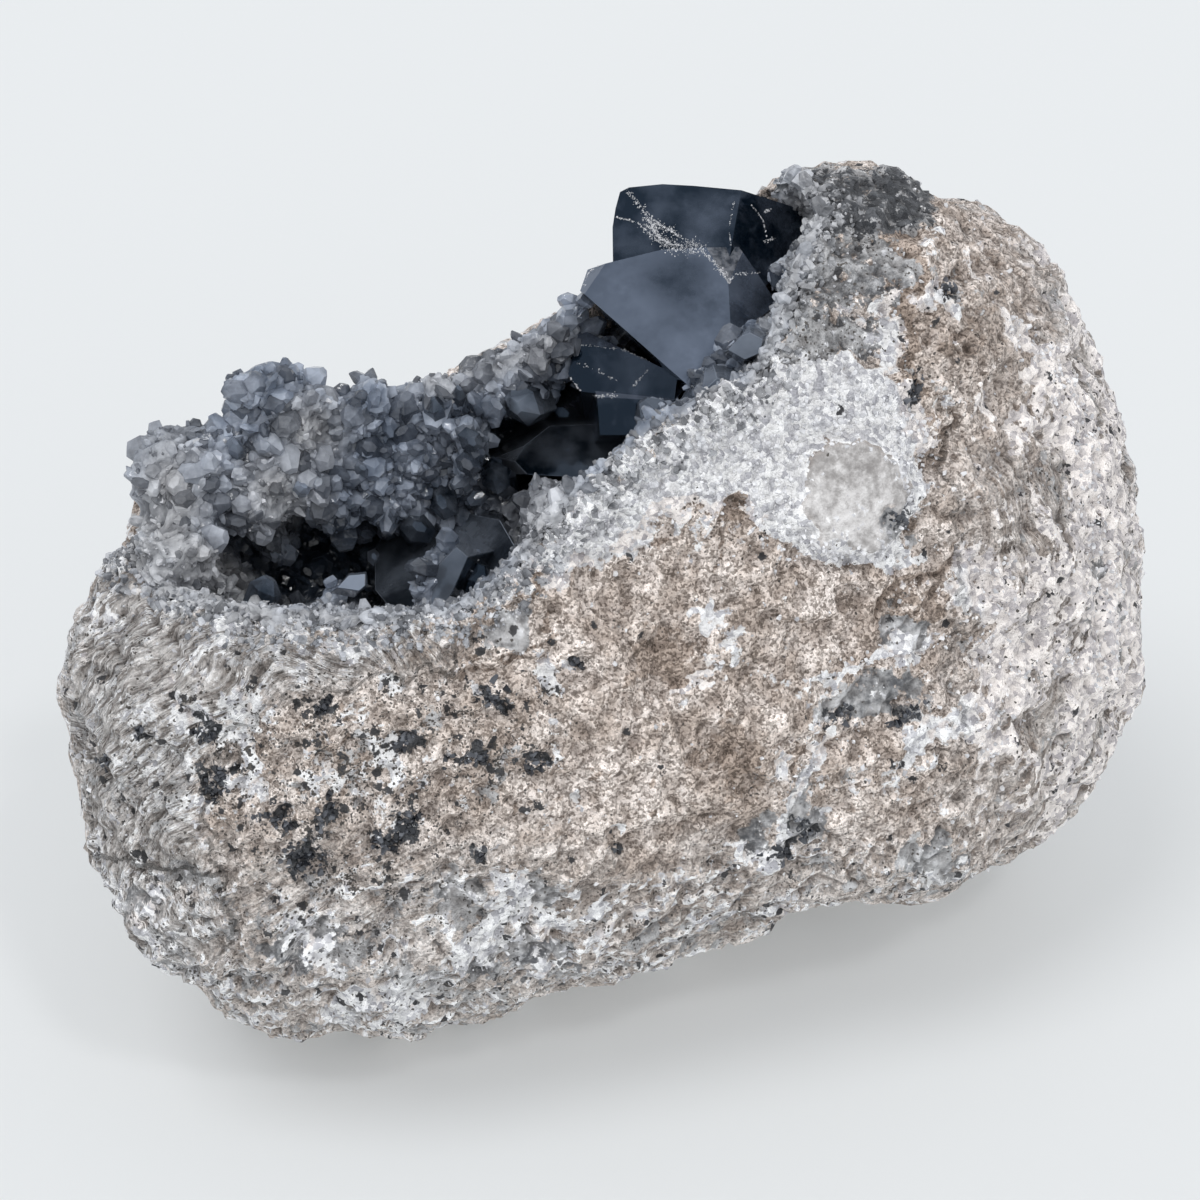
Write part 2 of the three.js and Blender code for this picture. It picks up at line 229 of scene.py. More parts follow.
def ease(value, low, high):
    """0 at one value and 1 at another, with a soft start and end."""
    share = np.clip((value - low) / (high - low), 0, 1)
    return share * share * (3 - 2 * share)


def ripple(points, size, octaves=3, shift=0.0):
    """Soft random values, mostly between -1 and 1, that change over a size in millimetres."""
    places = points / (size * MM) + shift
    return 2.0 * np.array([noise.fractal(place, 1.0, 2.0, octaves) for place in places.tolist()])


def wander(points):
    """Places on the face, wandered about so that what is marked there has a natural outline."""
    u, v, _ = across_face(points)
    u = u + (2.4 * ripple(points, 7, 2, 3.1) + 0.9 * ripple(points, 2.2, 2, 9.7))
    v = v + (2.4 * ripple(points, 7, 2, 21.3) + 0.9 * ripple(points, 2.2, 2, 15.9))
    return u, v


def lift(piece, relief):
    """Raises or sinks each point of the surface by its own relief, in millimetres."""
    for way in (1, -1):
        part = np.clip(way * relief, 0, None)
        raise_by(piece, part / part.max(), way * float(part.max()))


def crests(piece, rounds):
    """How far each point stands out from the surface around it, in millimetres."""
    points, normals = points_of(piece), normals_of(piece)
    soft = piece_from("soft", piece.data.copy())
    finish_with(soft, "SMOOTH", factor=0.5, iterations=rounds)
    out = ((points - points_of(soft)) * normals).sum(1) / MM
    bpy.data.objects.remove(soft)
    return out


# ---------------------------------------------------------------- finishes


def linear(red, green, blue):
    """A colour mixed on screen, 0 to 255, as the shader takes it."""
    def one(value):
        share = value / 255
        return share / 12.92 if share <= 0.04045 else ((share + 0.055) / 1.055) ** 2.4
    return one(red), one(green), one(blue), 1.0


class Field:
    """A value that a material works out at each place. Sums with it are written as with numbers."""

    def __init__(self, finish, socket):
        self.finish, self.socket = finish, socket

    def __add__(self, other):
        return self.finish.sum("ADD", self, other)

    def __sub__(self, other):
        return self.finish.sum("SUBTRACT", self, other)

    def __rsub__(self, other):
        return self.finish.sum("SUBTRACT", other, self)

    def __mul__(self, other):
        return self.finish.sum("MULTIPLY", self, other)

    def __abs__(self):
        return self.finish.sum("ABSOLUTE", self, 0.0)


class Finish:
    """A material, built up from patterns that stay fixed to the piece."""

    def __init__(self, name):
        self.material = bpy.data.materials.new(name)
        self.material.use_nodes = True
        self.tree = self.material.node_tree
        self.place = self.node("ShaderNodeTexCoord", "Object")

    def fill(self, made, inputs):
        for name, value in inputs.items():
            value = value.socket if isinstance(value, Field) else value
            if isinstance(value, bpy.types.NodeSocket):
                self.tree.links.new(value, made.inputs[name])
            else:
                made.inputs[name].default_value = value

    def node(self, kind, output=0, inputs=(), **settings):
        """A new node's output."""
        made = self.tree.nodes.new(kind)
        for name, value in settings.items():
            setattr(made, name, value)
        self.fill(made, dict(inputs))
        return Field(self, made.outputs[output])

    def shade(self, **inputs):
        self.fill(self.tree.nodes["Principled BSDF"],
                  {name.replace("_", " "): value for name, value in inputs.items()})

    def noise(self, size, detail=3.0, rough=0.5, where=None, output="Fac"):
        return self.node("ShaderNodeTexNoise", output, {
            "Vector": where or self.place, "Scale": 1 / (size * MM), "Detail": detail,
            "Roughness": rough})

    def noises(self, size, detail, rough, where=None):
        """Three noises of a size."""
        return self.split(self.noise(size, detail, rough, where, "Color"))

    def cells(self, size, where):
        """Grains of a size: the distance to each one's middle, and a random value for it."""
        reach = self.node("ShaderNodeTexVoronoi", "Distance",
                          {"Vector": where, "Scale": 1 / (size * MM)})
        return reach, self.split(reach.socket.node.outputs["Color"])[0]

    def jostled(self, size, reach):
        """Places pushed about, so that grains there have uneven outlines."""
        push = self.noise(size, 2, 0.6, output="Color")
        for kind, value in (("SUBTRACT", 0.5), ("MULTIPLY", reach * MM)):
            push = self.node("ShaderNodeVectorMath", 0, {0: push, 1: (value,) * 3}, operation=kind)
        return self.node("ShaderNodeVectorMath", 0, {0: self.place, 1: push}, operation="ADD")

    def split(self, colour):
        parts = self.node("ShaderNodeSeparateColor", 0, {"Color": colour}).socket.node.outputs
        return [Field(self, part) for part in parts]

    def marks(self, name):
        """The four values that a piece carries under a name."""
        carried = self.node("ShaderNodeAttribute", "Color", attribute_name=name)
        return *self.split(carried), Field(self, carried.socket.node.outputs["Alpha"])

    def sum(self, kind, a, b, clamp=False):
        return self.node("ShaderNodeMath", 0, {0: a, 1: b}, operation=kind, use_clamp=clamp)

    def most(self, a, b):
        return self.sum("MAXIMUM", a, b)

    def ease(self, value, low, high, start=0.0, end=1.0):
        return self.node("ShaderNodeMapRange", "Result", {
            "Value": value, "From Min": low, "From Max": high, "To Min": start, "To Max": end},
            interpolation_type="SMOOTHSTEP")

    def mix(self, share, a, b, kind="MIX"):
        return self.node("ShaderNodeMix", 2, {0: share, 6: a, 7: b}, data_type="RGBA",
                         blend_type=kind)

    def between(self, value, low, high, start, end):
        """A colour that goes from one to another, both mixed on screen."""
        return self.mix(self.ease(value, low, high), linear(*start), linear(*end))

    def dyed(self, colour, dye):
        return self.mix(1.0, colour, dye, "MULTIPLY")

    def bump(self, height, depth, strength=1.0, under=None):
        inputs = {"Height": height, "Distance": depth * MM, "Strength": strength}
        if under is not None:
            inputs["Normal"] = under
        return self.node("ShaderNodeBump", "Normal", inputs)


def rock_finish():
    """Rough rock: sand, streaks, grey glassy stone, white crust, dark specks and brown, partly
    stains and partly painted shade in grooves, cracks and under the crust's edge, with painted
    shade and light from its relief.
    """
    f = Finish("rough_rock")
    white, grey, dark, brown = f.marks("mineral")
    sugar, streaks, flecks, smooth = f.marks("texture")
    # how far each point stands out, finely and broadly, for painted shade in the crevices and
    # painted light on the crests; and where the lens is
    fine_crest_shade, broad_crest_shade, lens, _ = f.marks("relief")
    flow = f.node("ShaderNodeAttribute", "Vector", attribute_name="flow")

    patch_a, patch_b, patch_c = f.noises(8, 5, 0.68)
    crumb_a, crumb_b, crumb_c = f.noises(2.0, 3, 0.7)
    streak, thread_a, thread_b = f.noises(0.9, 3, 0.66, flow)
    grain = f.noise(0.4, 1, 0.7)
    uneven = f.jostled(0.8, 0.6)
    grit_reach, grit = f.cells(0.5, uneven)
    bead_reach, bead = f.cells(1.15, uneven)
    fleck_reach, fleck = f.cells(2.1, f.jostled(1.6, 2.2))

    def blend(a, b, share):
        return a * (1 - share) + b * share

    def edge(mark, patch, crumb, reach=1.2):
        """A mark's soft field, cut to a crumbly edge."""
        return f.ease(mark + (blend(patch, crumb, 0.25) - 0.5) * (2 * reach), 0.44, 0.56)

    def threads(pattern, patch, width):
        """Fine lines along the flow, in tufts."""
        return f.ease(abs(pattern - 0.5), width, 0.0) * (f.ease(patch, 0.42, 0.58) * streaks)

    wisps = (streak - 0.5) * (streaks * 2.0)
    is_white = f.most(edge(white + wisps, patch_a, crumb_a), threads(thread_a, patch_a, 0.04))
    is_grey = edge(grey, patch_b, crumb_b)
    is_dark = edge(dark, crumb_c, patch_b, 1.1)
    is_brown = edge(brown, patch_c, crumb_b, 1.0)
    clumps = flecks * f.ease(blend(patch_b, crumb_a, 0.3), 0.42, 0.6, 0.1, 1.5)

    def specks(reach, chance, level, size):
        """Dark specks: some of the grains, as many as the marks ask for, with ragged outlines."""
        chosen = f.sum("GREATER_THAN", chance, 1.0 - clumps * level)
        return chosen * f.ease(reach + (crumb_c - 0.5), size, size - 0.15)

    sand = f.between(patch_c, 0.36, 0.64, (204, 190, 180), (232, 223, 217))
    # brown: stains, and painted shade in the grooves, cracks, the leaf-shaped dent and under the
    # white crust's edge
    sand = f.mix(is_brown * 0.8, sand, linear(158, 141, 128))
    sand = f.dyed(sand, f.mix(f.ease(blend(grain, grit, 0.5), 0.25, 0.7),
                              (0.36, 0.34, 0.32, 1), (1.22, 1.22, 1.22, 1)))
    rock = f.mix(f.sum("MULTIPLY", streaks, 0.76, clamp=True), sand,
                 f.between(streak, 0.38, 0.62, (104, 101, 99), (236, 235, 234)))
    rock = f.mix(threads(thread_b, patch_b, 0.03), rock, linear(80, 79, 80))
    glassy = f.between(blend(patch_b, crumb_a, 0.3), 0.38, 0.62, (86, 88, 92), (196, 196, 197))
    rock = f.mix(is_grey, rock, glassy)
    rock = f.mix(lens, rock, f.between(blend(patch_c, crumb_a, 0.5), 0.38, 0.62,
                                       (170, 167, 166), (216, 214, 213)))
    chalk = f.between(blend(bead, crumb_b, 0.5), 0.22, 0.66, (184, 184, 190), (255, 255, 255))
    chalk = f.mix(f.ease(brown, 0.26, 0.4), chalk, f.dyed(chalk, (1.04, 0.98, 0.94, 1)))
    rock = f.mix(is_white, rock, chalk)
    rock = f.mix(specks(fleck_reach, fleck, 0.26, 0.55), rock, linear(70, 70, 72))
    rock = f.mix(specks(grit_reach, grit, 0.2, 0.7), rock, linear(92, 88, 84))
    rock = f.mix(is_dark, rock, f.mix(bead, linear(38, 41, 46), linear(96, 98, 102)))
    # painted shade in the crevices and painted light on the crests
    shadow = f.mix(f.ease(blend(fine_crest_shade, broad_crest_shade, 0.6), 0.2, 0.8), (0.54, 0.52, 0.51, 1),
                   (1.3, 1.3, 1.3, 1))
    # partly random mottling, partly painted shade that follows the bumped lumps, darker where they
    # are low
    mottle_and_lump_shade = f.mix(f.ease(blend(crumb_a, patch_c, 0.65), 0.38, 0.62), (0.78, 0.77, 0.76, 1),
                   (1.14, 1.14, 1.14, 1))
    # both painted shades darken and lighten the rock, less on the white crust
    for shade, kept in ((shadow, 0.5), (mottle_and_lump_shade, 0.7)):
        rock = f.mix(1.0 - is_white * kept, rock, f.dyed(rock, shade))
    rough = f.ease(f.most(smooth, f.most(is_grey * 0.6, is_dark)), 0.0, 1.0, 0.86, 0.3)

    lumps = patch_c * 1.2 + crumb_a * 0.9
    pebbles = bead_reach * (sugar * -1.0) - grit_reach * 0.3
    height = (lumps + pebbles + streak * streaks * 2.4) * (1.0 - smooth * 0.8)
    f.shade(Base_Color=rock, Roughness=rough, Normal=f.bump(height, 0.9, 1.0))
    return f.material


def druse_finish():
    """The crust of small crystals: cloudy, blue-grey, sugared in places, with painted shade in its
    hollows and pockets and painted light on its crests.
    """
    f = Finish("cloudy_druse")
    tone, cream, depth, _ = f.marks("growth")
    patch_a, patch_b, _ = f.noises(7, 4, 0.6)
    grain_a, grain_b, _ = f.noises(0.9, 3, 0.6)
    body = f.between(patch_a, 0.35, 0.65, (118, 128, 144), (182, 190, 204))
    body = f.mix(cream, body, f.between(patch_b, 0.35, 0.65, (176, 176, 178), (214, 215, 218)))
    # painted shade: darker the further down the druse lies in the hollow and in its pockets
    body = f.mix(f.ease(depth, 0.0, 1.0), body, linear(34, 42, 52))
    # painted shade and light from the tone: on the crust darker in its hollows and paler on its
    # crests; on the crystals a random tone, palest on the painted glints
    body = f.dyed(body, f.mix(f.ease(tone * 0.75 + grain_a * 0.25, 0.12, 0.88),
                              (0.34, 0.35, 0.37, 1), (1.6, 1.6, 1.6, 1)))
    grit_reach, _ = f.cells(1.1, f.jostled(0.8, 0.8))
    relief = grain_b * 0.5 + grit_reach * f.ease(cream, 0.0, 1.0, -0.1, -1.0)
    f.shade(Base_Color=body, Roughness=f.ease(cream, 0.0, 1.0, 0.1, 0.26), IOR=CELESTITE_IOR,
            Transmission_Weight=0.35, Normal=f.bump(relief, 0.35, 0.6))
    return f.material


def crystal_finish(name, dark, pale, glows=()):
    """Clear celestite, each facet of its own tone, partly painted light and shade, clouded by
    veils, with soft painted light and shade in places.
    """
    f = Finish(name)
    tone, cracked, smoky, _ = f.marks("growth")
    veil_a, veil_b, _ = f.noises(10, 4, 0.55)
    crumb = f.noise(1.6, 5, 0.7)
    tone = tone + f.ease(veil_a, 0.32, 0.68, -0.1, 0.12)
    tone = tone + f.ease(veil_b + crumb * 0.12, 0.6, 0.72, 0.0, 0.12)
    # painted light and shade: soft pale and dark places round given points
    for place, reach, gain in glows:
        apart = f.node("ShaderNodeVectorMath", "Value", {0: f.place, 1: tuple(seen(*place))},
                       operation="DISTANCE")
        tone = tone + f.ease(apart, reach * MM, 0.0, 0.0, gain)
    tone = tone + cracked * f.ease(crumb, 0.35, 0.65, -0.25, 0.35)
    colour = f.mix(tone, linear(*dark), linear(*pale))
    colour = f.mix(smoky * 0.8, colour, f.between(crumb, 0.35, 0.65, (58, 54, 50), (168, 162, 156)))
    f.shade(Base_Color=colour, Roughness=f.ease(cracked, 0.0, 1.0, 0.09, 0.4), IOR=CELESTITE_IOR,
            Transmission_Weight=0.45, Specular_IOR_Level=0.35, Specular_Tint=(0.5, 0.7, 1.0, 1),
            Normal=f.bump(crumb * cracked, 0.5, under=f.bump(f.noise(5), 0.15, 0.25)))
    absorb = f.node("ShaderNodeVolumeAbsorption", "Volume",
                    {"Color": linear(108, 136, 172), "Density": 95.0})
    f.fill(f.tree.nodes["Material Output"], {"Volume": absorb})
    return f.material


def grain_finish(name, dark, pale, roughness):
    """Small grains, each of its own tone."""
    f = Finish(name)
    tone, _, _, _ = f.marks("growth")
    f.shade(Base_Color=f.mix(tone, linear(*dark), linear(*pale)), Roughness=roughness, IOR=1.6,
            Normal=f.bump(f.noise(0.6, 2), 0.1, 0.5))
    return f.material


def dress(piece, material):
    """Gives a piece its material and its slot, and lets it ride on the geode."""
    piece.data.materials.clear()
    piece.data.materials.append(material)
    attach(piece, "root")


# ---------------------------------------------------------------- the nodule

# How finely the two are remeshed before their surface is shaped.
ROCK_VOXEL, CRUST_VOXEL = 1.8 * MM, 0.95 * MM
# Outlines and lines on the broken face, as places u, v.
RIM = [(-95, 12), (-86, 3), (-72, -4), (-56, -3.6), (-40, -4.4), (-30, -3.6), (-22, 0), (-16, 5),
       (-10, 12), (-2, 20), (8, 29), (18, 36), (30, 42), (35, 52), (38, 62), (40, 70), (45, 77)]
# The hollow's mouth, within which the rock lies under the crust.
HOLLOW = RIM + [(8, 66), (-8, 58), (-30, 42), (-60, 40), (-96, 36)]
# The smooth pale lens in the white crust: its middle, and the notch in its edge.
LENS, LENS_NOTCH = (50, 21), ((58.5, 15.5), (3.5, 3.5))

CRUST_BAND = [(-17, 2), (-8, 8), (2, 13), (12, 18), (21, 21), (29, 19), (33, 12), (40, 9),
              (49, 7.5), (58, 9.5), (63, 17), (65, 27), (63, 38), (59, 43), (48, 47), (38, 49),
              (30, 46), (18, 38), (8, 31), (-2, 22), (-10, 14), (-18, 6)]
GREY_SHOULDER = [(32, 46), (40, 70), (46, 78), (52, 73), (60, 73), (62, 60), (59, 52), (50, 46),
                 (40, 46)]
KNOB = [(36, 88), (68, 88), (67, 74), (54, 72), (42, 72)]
LEFT_STREAKS = [(-112, 10), (-100, 14), (-84, 2), (-60, -6), (-28, -8), (-40, -15), (-62, -18),
                (-76, -26), (-80, -44), (-76, -66), (-84, -90), (-112, -60)]
# The points that the streaks on the left and on the right run round.
LEFT_CENTRE, RIGHT_CENTRE = (-60, -55), (20, 10)

# Lines that are cut in the face: points, half width and depth, millimetres.
GROOVES = [
    ([(56, -3), (62, 2.6), (71, 8)], 1.3, 1.3),
    ([(60, -4), (68, -0.5)], 1.1, 0.9),
    ([(72.5, 38.5), (70.2, 32), (68.2, 24)], 1.1, 1.2),
    ([(-31, -18), (-25, -13), (-17.5, -10), (-11.5, -7), (-7, -3)], 0.8, 0.9),
    ([(66, 58), (68.6, 63.4), (73, 67)], 0.8, 1.3),
    ([(70.6, 51.6), (73.8, 52), (78.4, 50.6)], 0.8, 1.0),
    ([(-20, -2), (-19.5, -6), (-17, -8)], 0.8, 0.9),
    ([(58, -50), (46, -56), (36, -62)], 1.0, 0.9),
]
# A leaf-shaped dent: its middle, its radii and how far it is turned, in degrees.
LEAF = ((70.5, 31), (2.6, 9), -14)

# Where each kind of stone shows: lines with their half widths, ovals with their radii.
WHITE_STROKES = [
    ([(-6, 8), (8, 17), (20, 24), (32, 31), (46, 38), (57, 40), (62, 33)], 4.5),
    ([(84, 54), (92, 44), (97, 32), (99, 16), (102, 0), (101, -16)], 2.6),
    ([(80, 6), (79, -8), (80, -20), (78, -30)], 3.0),
    ([(44, -14.5), (56, -11), (69, -8)], 1.3),
    ([(81, -15), (90, -13.5), (98, -12)], 1.8),
    ([(61, -32), (66, -27), (73, -24), (80, -21)], 2.0),
    ([(38, -38), (43, -32), (46, -28)], 1.2),
    ([(38, -38), (37, -43), (37, -48)], 0.9),
    ([(20, -4), (26, -3.4)], 1.0),
    ([(18, -15), (29, -12)], 1.2),
    ([(15, -19), (22, -17)], 1.0),
    ([(-16.5, -56), (-17, -64), (-21.5, -68), (-25, -71)], 2.6),
    ([(-54, -83), (-45, -80), (-36, -82)], 2.2),
    ([(46, 9), (52, 10), (58, 8), (62, 8.5)], 1.3),
    ([(-84, -25), (-74, -27), (-68, -38)], 2.4),
    ([(58, 60), (57, 50), (53, 46)], 1.8),
    ([(66, 62), (70, 60)], 2.0),
]
WHITE_SPOTS = [
    ((25, -10), (3.6, 3.2)), ((-10.5, -15), (5, 6)), ((-3, -42.5), (3.2, 1.4)),
    ((4, -45), (1.6, 2.2)), ((-64.5, -59), (2.4, 2.2)), ((75, 3), (5, 7)), ((-74, -23), (5, 5)),
    ((-48, -9), (7, 2.2)), ((88, 4), (4, 7)), ((-24, -19), (3, 3)), ((78, 40), (1.6, 2.4)),
    ((86, 34), (2, 4)), ((-58, -35), (4, 3)), ((-40, -32), (5, 3)), ((30, -52), (4, 2)),
    ((86, -10), (9, 15)), ((-8, -64), (5, 3)),
]
GREY_SPOTS = [
    ((54, -20), (10, 4.5)), ((41, -43), (4, 8)), ((33, -49), (5, 3)), ((58.5, 15.5), (4, 4)),
    ((52, 12), (5, 2.5)), ((-58, -71), (8, 4.5)), ((-13, -60), (3.5, 5)), ((-15, -72), (11, 3)),
    ((-16.5, -4.5), (3.4, 3.5)), ((-91, -61), (3, 4)), ((103, -2), (4, 8)), ((66, -52), (5, 3)),
    ((-29, -61), (3, 1.4)), ((60, -18), (4, 3)), ((62, -6), (6, 3)),
]
# Brown: stains, and painted shade along the grooves, in the leaf-shaped dent and under the white
# crust's lower edge.
BROWN_STROKES = [
    ([(59, 73), (61, 62), (63, 54), (61, 46), (63, 38), (66, 32)], 3.4),
    ([(56, -3), (62, 2.6), (71, 8)], 2.2),
    ([(60, -4), (68, -0.5)], 1.8),
    ([(2, 12), (14, 18), (24, 20), (31, 16)], 1.4),
    ([(-16, 2), (-10, 5), (-4, 6)], 1.6),
    ([(70, 52), (78, 50)], 2.4),
]
BROWN_SPOTS = [
    ((12, -12), (9, 8)), ((70.5, 29), (2.4, 6)), ((-70, -57), (1.8, 2)), ((38, -4), (2, 1)),
    ((28, -34), (8, 9)), ((-30, -12), (8, 4)), ((77, 55), (4, 4)), ((86, -34), (6, 5)),
]
DARK_SPOTS = [
    ((-39, -45), (3.4, 3.6)), ((-43.5, -48.5), (2.2, 2.4)), ((-24, -51), (1.2, 1.4)),
    ((3, -49.5), (1.0, 1.0)), ((-21.5, -19.5), (3.2, 2.2)), ((-13.5, -33), (2.3, 2.5)),
    ((-26, -32), (4.2, 1.2)), ((-39, -28), (2.4, 1.7)), ((-4.5, -12.5), (1.4, 1.4)),
    ((-79, -27), (2.6, 1.9)), ((-76.5, -37), (2.1, 3.6)), ((-65, -44.3), (5.5, 1.0)),
    ((-55, -42.5), (2.6, 2.8)), ((-99, -32), (1.3, 1.3)), ((-92, -27.5), (1.0, 1.7)),
    ((-55.5, -22), (1.4, 1.4)), ((62.5, 41), (1.6, 2.6)), ((60, 16), (2.0, 1.6)),
    ((70, 62), (1.6, 1.0)), ((-59, -52), (3.0, 3.4)), ((48, -23), (2.6, 1.8)),
    ((61, -23), (3.0, 1.6)), ((41, -46), (1.6, 3.2)), ((36, -51), (3.0, 1.4)),
]

# The slope behind the rim, the sandy middle and the part with the most dark flecks.
SLOPE = [(-104, 16), (-84, 12), (-70, 4), (-30, 2), (-28, -6), (-56, -8), (-80, -8), (-100, 2)]
SAND = [(-12, 2), (6, 8), (34, 6), (56, 4), (58, -8), (40, -18), (30, -40), (14, -56), (-8, -50),
        (-6, -20)]
FLECKED = [(-84, -20), (-50, -12), (-8, -10), (-2, -30), (-20, -40), (-40, -70), (-70, -66)]


def around(u, v, w, centre):
    """Coordinates for streaks that run round a centre."""
    du, dv = u - centre[0], v - centre[1]
    return np.stack([np.hypot(du, dv) / 1.1, np.arctan2(dv, du) * 45 / 8, w / 7], 1) * MM


def bands(u, v, w):
    """Coordinates for streaks that rise a little to the right."""
    return np.stack([(0.42 * u - 0.91 * v) / 1.1, (0.91 * u + 0.42 * v) / 8, w / 4], 1) * MM


def make_nodule():
    """The rock, its surface cut and raised, with its kinds of stone marked on it."""
    piece = copy_of("nodule", "rock_nodule")
    finish_with(piece, "REMESH", mode="VOXEL", voxel_size=ROCK_VOXEL)
    finish_with(piece, "SMOOTH", factor=0.5, iterations=5)
    u, v, w = across_face(points_of(piece))
    covered = (region(u, v, HOLLOW, 1) > 0.9) & (w < 24)
    refine(piece, (normals_of(piece) @ OUTWARD > 0.15) & ~covered)
    finish_with(piece, "SMOOTH", factor=0.5, iterations=4)

    points = points_of(piece)
    true_u, true_v, w = across_face(points)
    u, v = wander(points)
    front = ease(normals_of(piece) @ OUTWARD, -0.05, 0.2)

    def on_front(painted, elsewhere):
        return front * painted + (1 - front) * elsewhere

    band = region(u, v, CRUST_BAND, 1.5)
    shoulder = region(u, v, GREY_SHOULDER, 2)
    knob = region(true_u, true_v, KNOB, 2)
    left = region(u, v, LEFT_STREAKS, 5)
    slope = region(u, v, SLOPE, 2.5)
    sand = region(u, v, SAND, 5)
    right = ease(u, 60, 94) * (1 - 0.6 * ease(v, 20, 40) * (1 - ease(u, 86, 94)))
    low_end = ease(v, -38, -62)
    lens_reach = np.hypot(true_u - LENS[0], true_v - LENS[1]) + 1.1 * ripple(points, 5, 2, 13.0)
    lens = ease(lens_reach, 12.5, 9.5)
    rim = stroke(true_u, true_v, RIM, 3)
    hollow = front * (1 - ease(w, 10, 16)) * region(true_u, true_v, HOLLOW, 2)

    # the way that streaks run: round a centre on the left and the right, rising between them
    sway_u = true_u + 3.5 * ripple(points, 24, 2, 6.0)
    sway_v = true_v + 3.5 * ripple(points, 24, 2, 31.0)
    round_left = around(sway_u, sway_v, w, LEFT_CENTRE)
    round_right = around(sway_u, sway_v, w, RIGHT_CENTRE)
    rising = bands(sway_u, sway_v, w)
    flow = np.where((left > 0.3)[:, None], round_left,
                    np.where((u > 72)[:, None], round_right, rising))

    ring = ease(np.abs(lens_reach - 12), 2.2, 0.8)
    # long white ridges with darker hollows between them, on the right and along the bottom
    fleshy = region(u, v, FLECKED, 6)
    netted = front * most(right, 0.9 * low_end, 0.5 * fleshy) * (1 - sand) + 0.6 * (1 - front)
    stretch, turned = (0.13, 0.42, 0.4), ease(u, 60, 80)
    weave = np.abs((1 - turned) * ripple(rising * stretch, 1.0, 3, 44.0)
                   + turned * ripple(round_right * stretch, 1.0, 3, 44.0))
    net = np.clip(1 - weave / 0.2, 0, 1) * netted
    cells = np.clip(2.4 * weave - 0.6, 0, 1) * netted
    white = most(0.27, 1.2 * strokes(u, v, WHITE_STROKES), 1.1 * spots(u, v, WHITE_SPOTS),
                 0.95 * band, 0.22 * shoulder, 0.47 * right, 0.4 * slope, 0.36 * low_end,
                 0.6 * ease(rim, 0.35, 0.8))
    white = (white + 0.25 * ease(u, 82, 98) - 0.2 * sand) * (1 - lens) + 0.26 * lens
    white = white * (1 - 0.6 * knob) * (1 - 0.35 * shoulder * (1 - band))
    white = most(white + 0.08 * right - (0.12 + 0.3 * right) * cells, 0.8 * ring, 1.1 * net)
    grey = most(0.22, 1.05 * spots(u, v, GREY_SPOTS), 0.68 * shoulder, 0.8 * knob, 0.55 * slope,
                0.32 * left, 0.3 * low_end, 0.26 * right)
    grey = grey - 0.16 * sand + 0.2 * cells * (1 - 0.4 * right)
    dark = most(0.6 * knob, 0.85 * spots(u, v, DARK_SPOTS))
    brown = most(0.24, 0.85 * strokes(u, v, BROWN_STROKES), 0.8 * spots(u, v, BROWN_SPOTS),
                 0.42 * ease(u, 60, 80))
    flecks = most(0.1, fleshy, 0.5 * shoulder, 0.8 * knob, 0.16 * right, 0.3 * left,
                  0.4 * low_end) * (1 - 0.8 * sand) * (1 - 0.9 * band)
    smooth = 0.9 * most(ease(spots(u, v, GREY_SPOTS), 0.3, 0.7), 0.7 * lens)
    left = on_front(left, 0.3)
    band = on_front(band, 0.0)

    # steps and ledges in the sand, crags elsewhere, and rounded lumps on the white crust
    steps = 1.5 * ripple(points, 15, 3, 5.5)
    steps = np.floor(steps) + ease(steps - np.floor(steps), 0.7, 0.95)
    folds = 1.5 * np.abs(ripple(points, 7.0, 4, 2.0))
    lumps = np.abs(ripple(points, 3.6, 3, 7.0))
    ridges = ripple(flow, 1.6, 3, 4.0)
    rugged = (1 - 0.3 * on_front(sand, 0.2)) * (1 - 0.8 * band) * (1 - 0.85 * lens * front)
    cracks = np.clip(1 - 5 * np.abs(ripple(points, 17, 3, 11.0)), 0, 1) ** 1.5 * rugged
    # painted shade: the cracks are painted brown
    brown = most(brown, 0.6 * cracks)
    relief = (0.9 * ripple(points, 24, 2)
              + 0.8 * (1 + 0.5 * sand * front) * steps * (1 - 0.6 * band) * (1 - lens * front)
              + 0.7 * rugged * (0.5 - folds) + 0.14 * rugged * ripple(points, 2.6, 3, 8.0)
              + band * (0.5 + 0.6 * lumps) + 0.24 * most(left, 0.8 * right) * ridges
              - 0.9 * cracks + 0.7 * net - 0.5 * cells)
    relief += front * (rim * (1 - hollow) * (0.3 + lumps) + 2.0 * lens * (1 - 0.15 * lumps))
    relief -= front * (1.0 * ease(dark, 0.3, 0.7) + 0.5 * ease(smooth, 0.3, 0.7) * (1 - lens)
                       + 1.3 * np.clip(2 * spot(true_u, true_v, *LEAF) - 1, 0, 1) ** 0.5)
    for line, half, depth in GROOVES:
        cut = np.clip(1 - to_line(u, v, line) / (1.6 * half), 0, 1) * front
        relief -= depth * cut
        # painted shade: each groove is painted brown
        brown = most(brown, 0.75 * cut)
    lift(piece, relief * (1 - 0.8 * hollow) * ease(points[:, 2] / MM, 0.0, 5.0))

    # the brown mark is partly stains and partly painted shade in cracks, grooves and under the
    # crust's edge
    keep_values(piece, "mineral", on_front(white, 0.38), on_front(grey, 0.36),
                on_front(dark, 0.0), on_front(brown, 0.3))
    streaky = most(left, on_front(most(0.5 * low_end, 0.7 * right) * (1 - sand), 0.3))
    keep_values(piece, "texture", most(band * (1 - lens), on_front(0.6 * shoulder, 0.3)), streaky,
                on_front(flecks, 0.35), on_front(smooth, 0.0))
    lens = front * lens * (1 - ease(spot(u, v, *LENS_NOTCH), 0.35, 0.6))
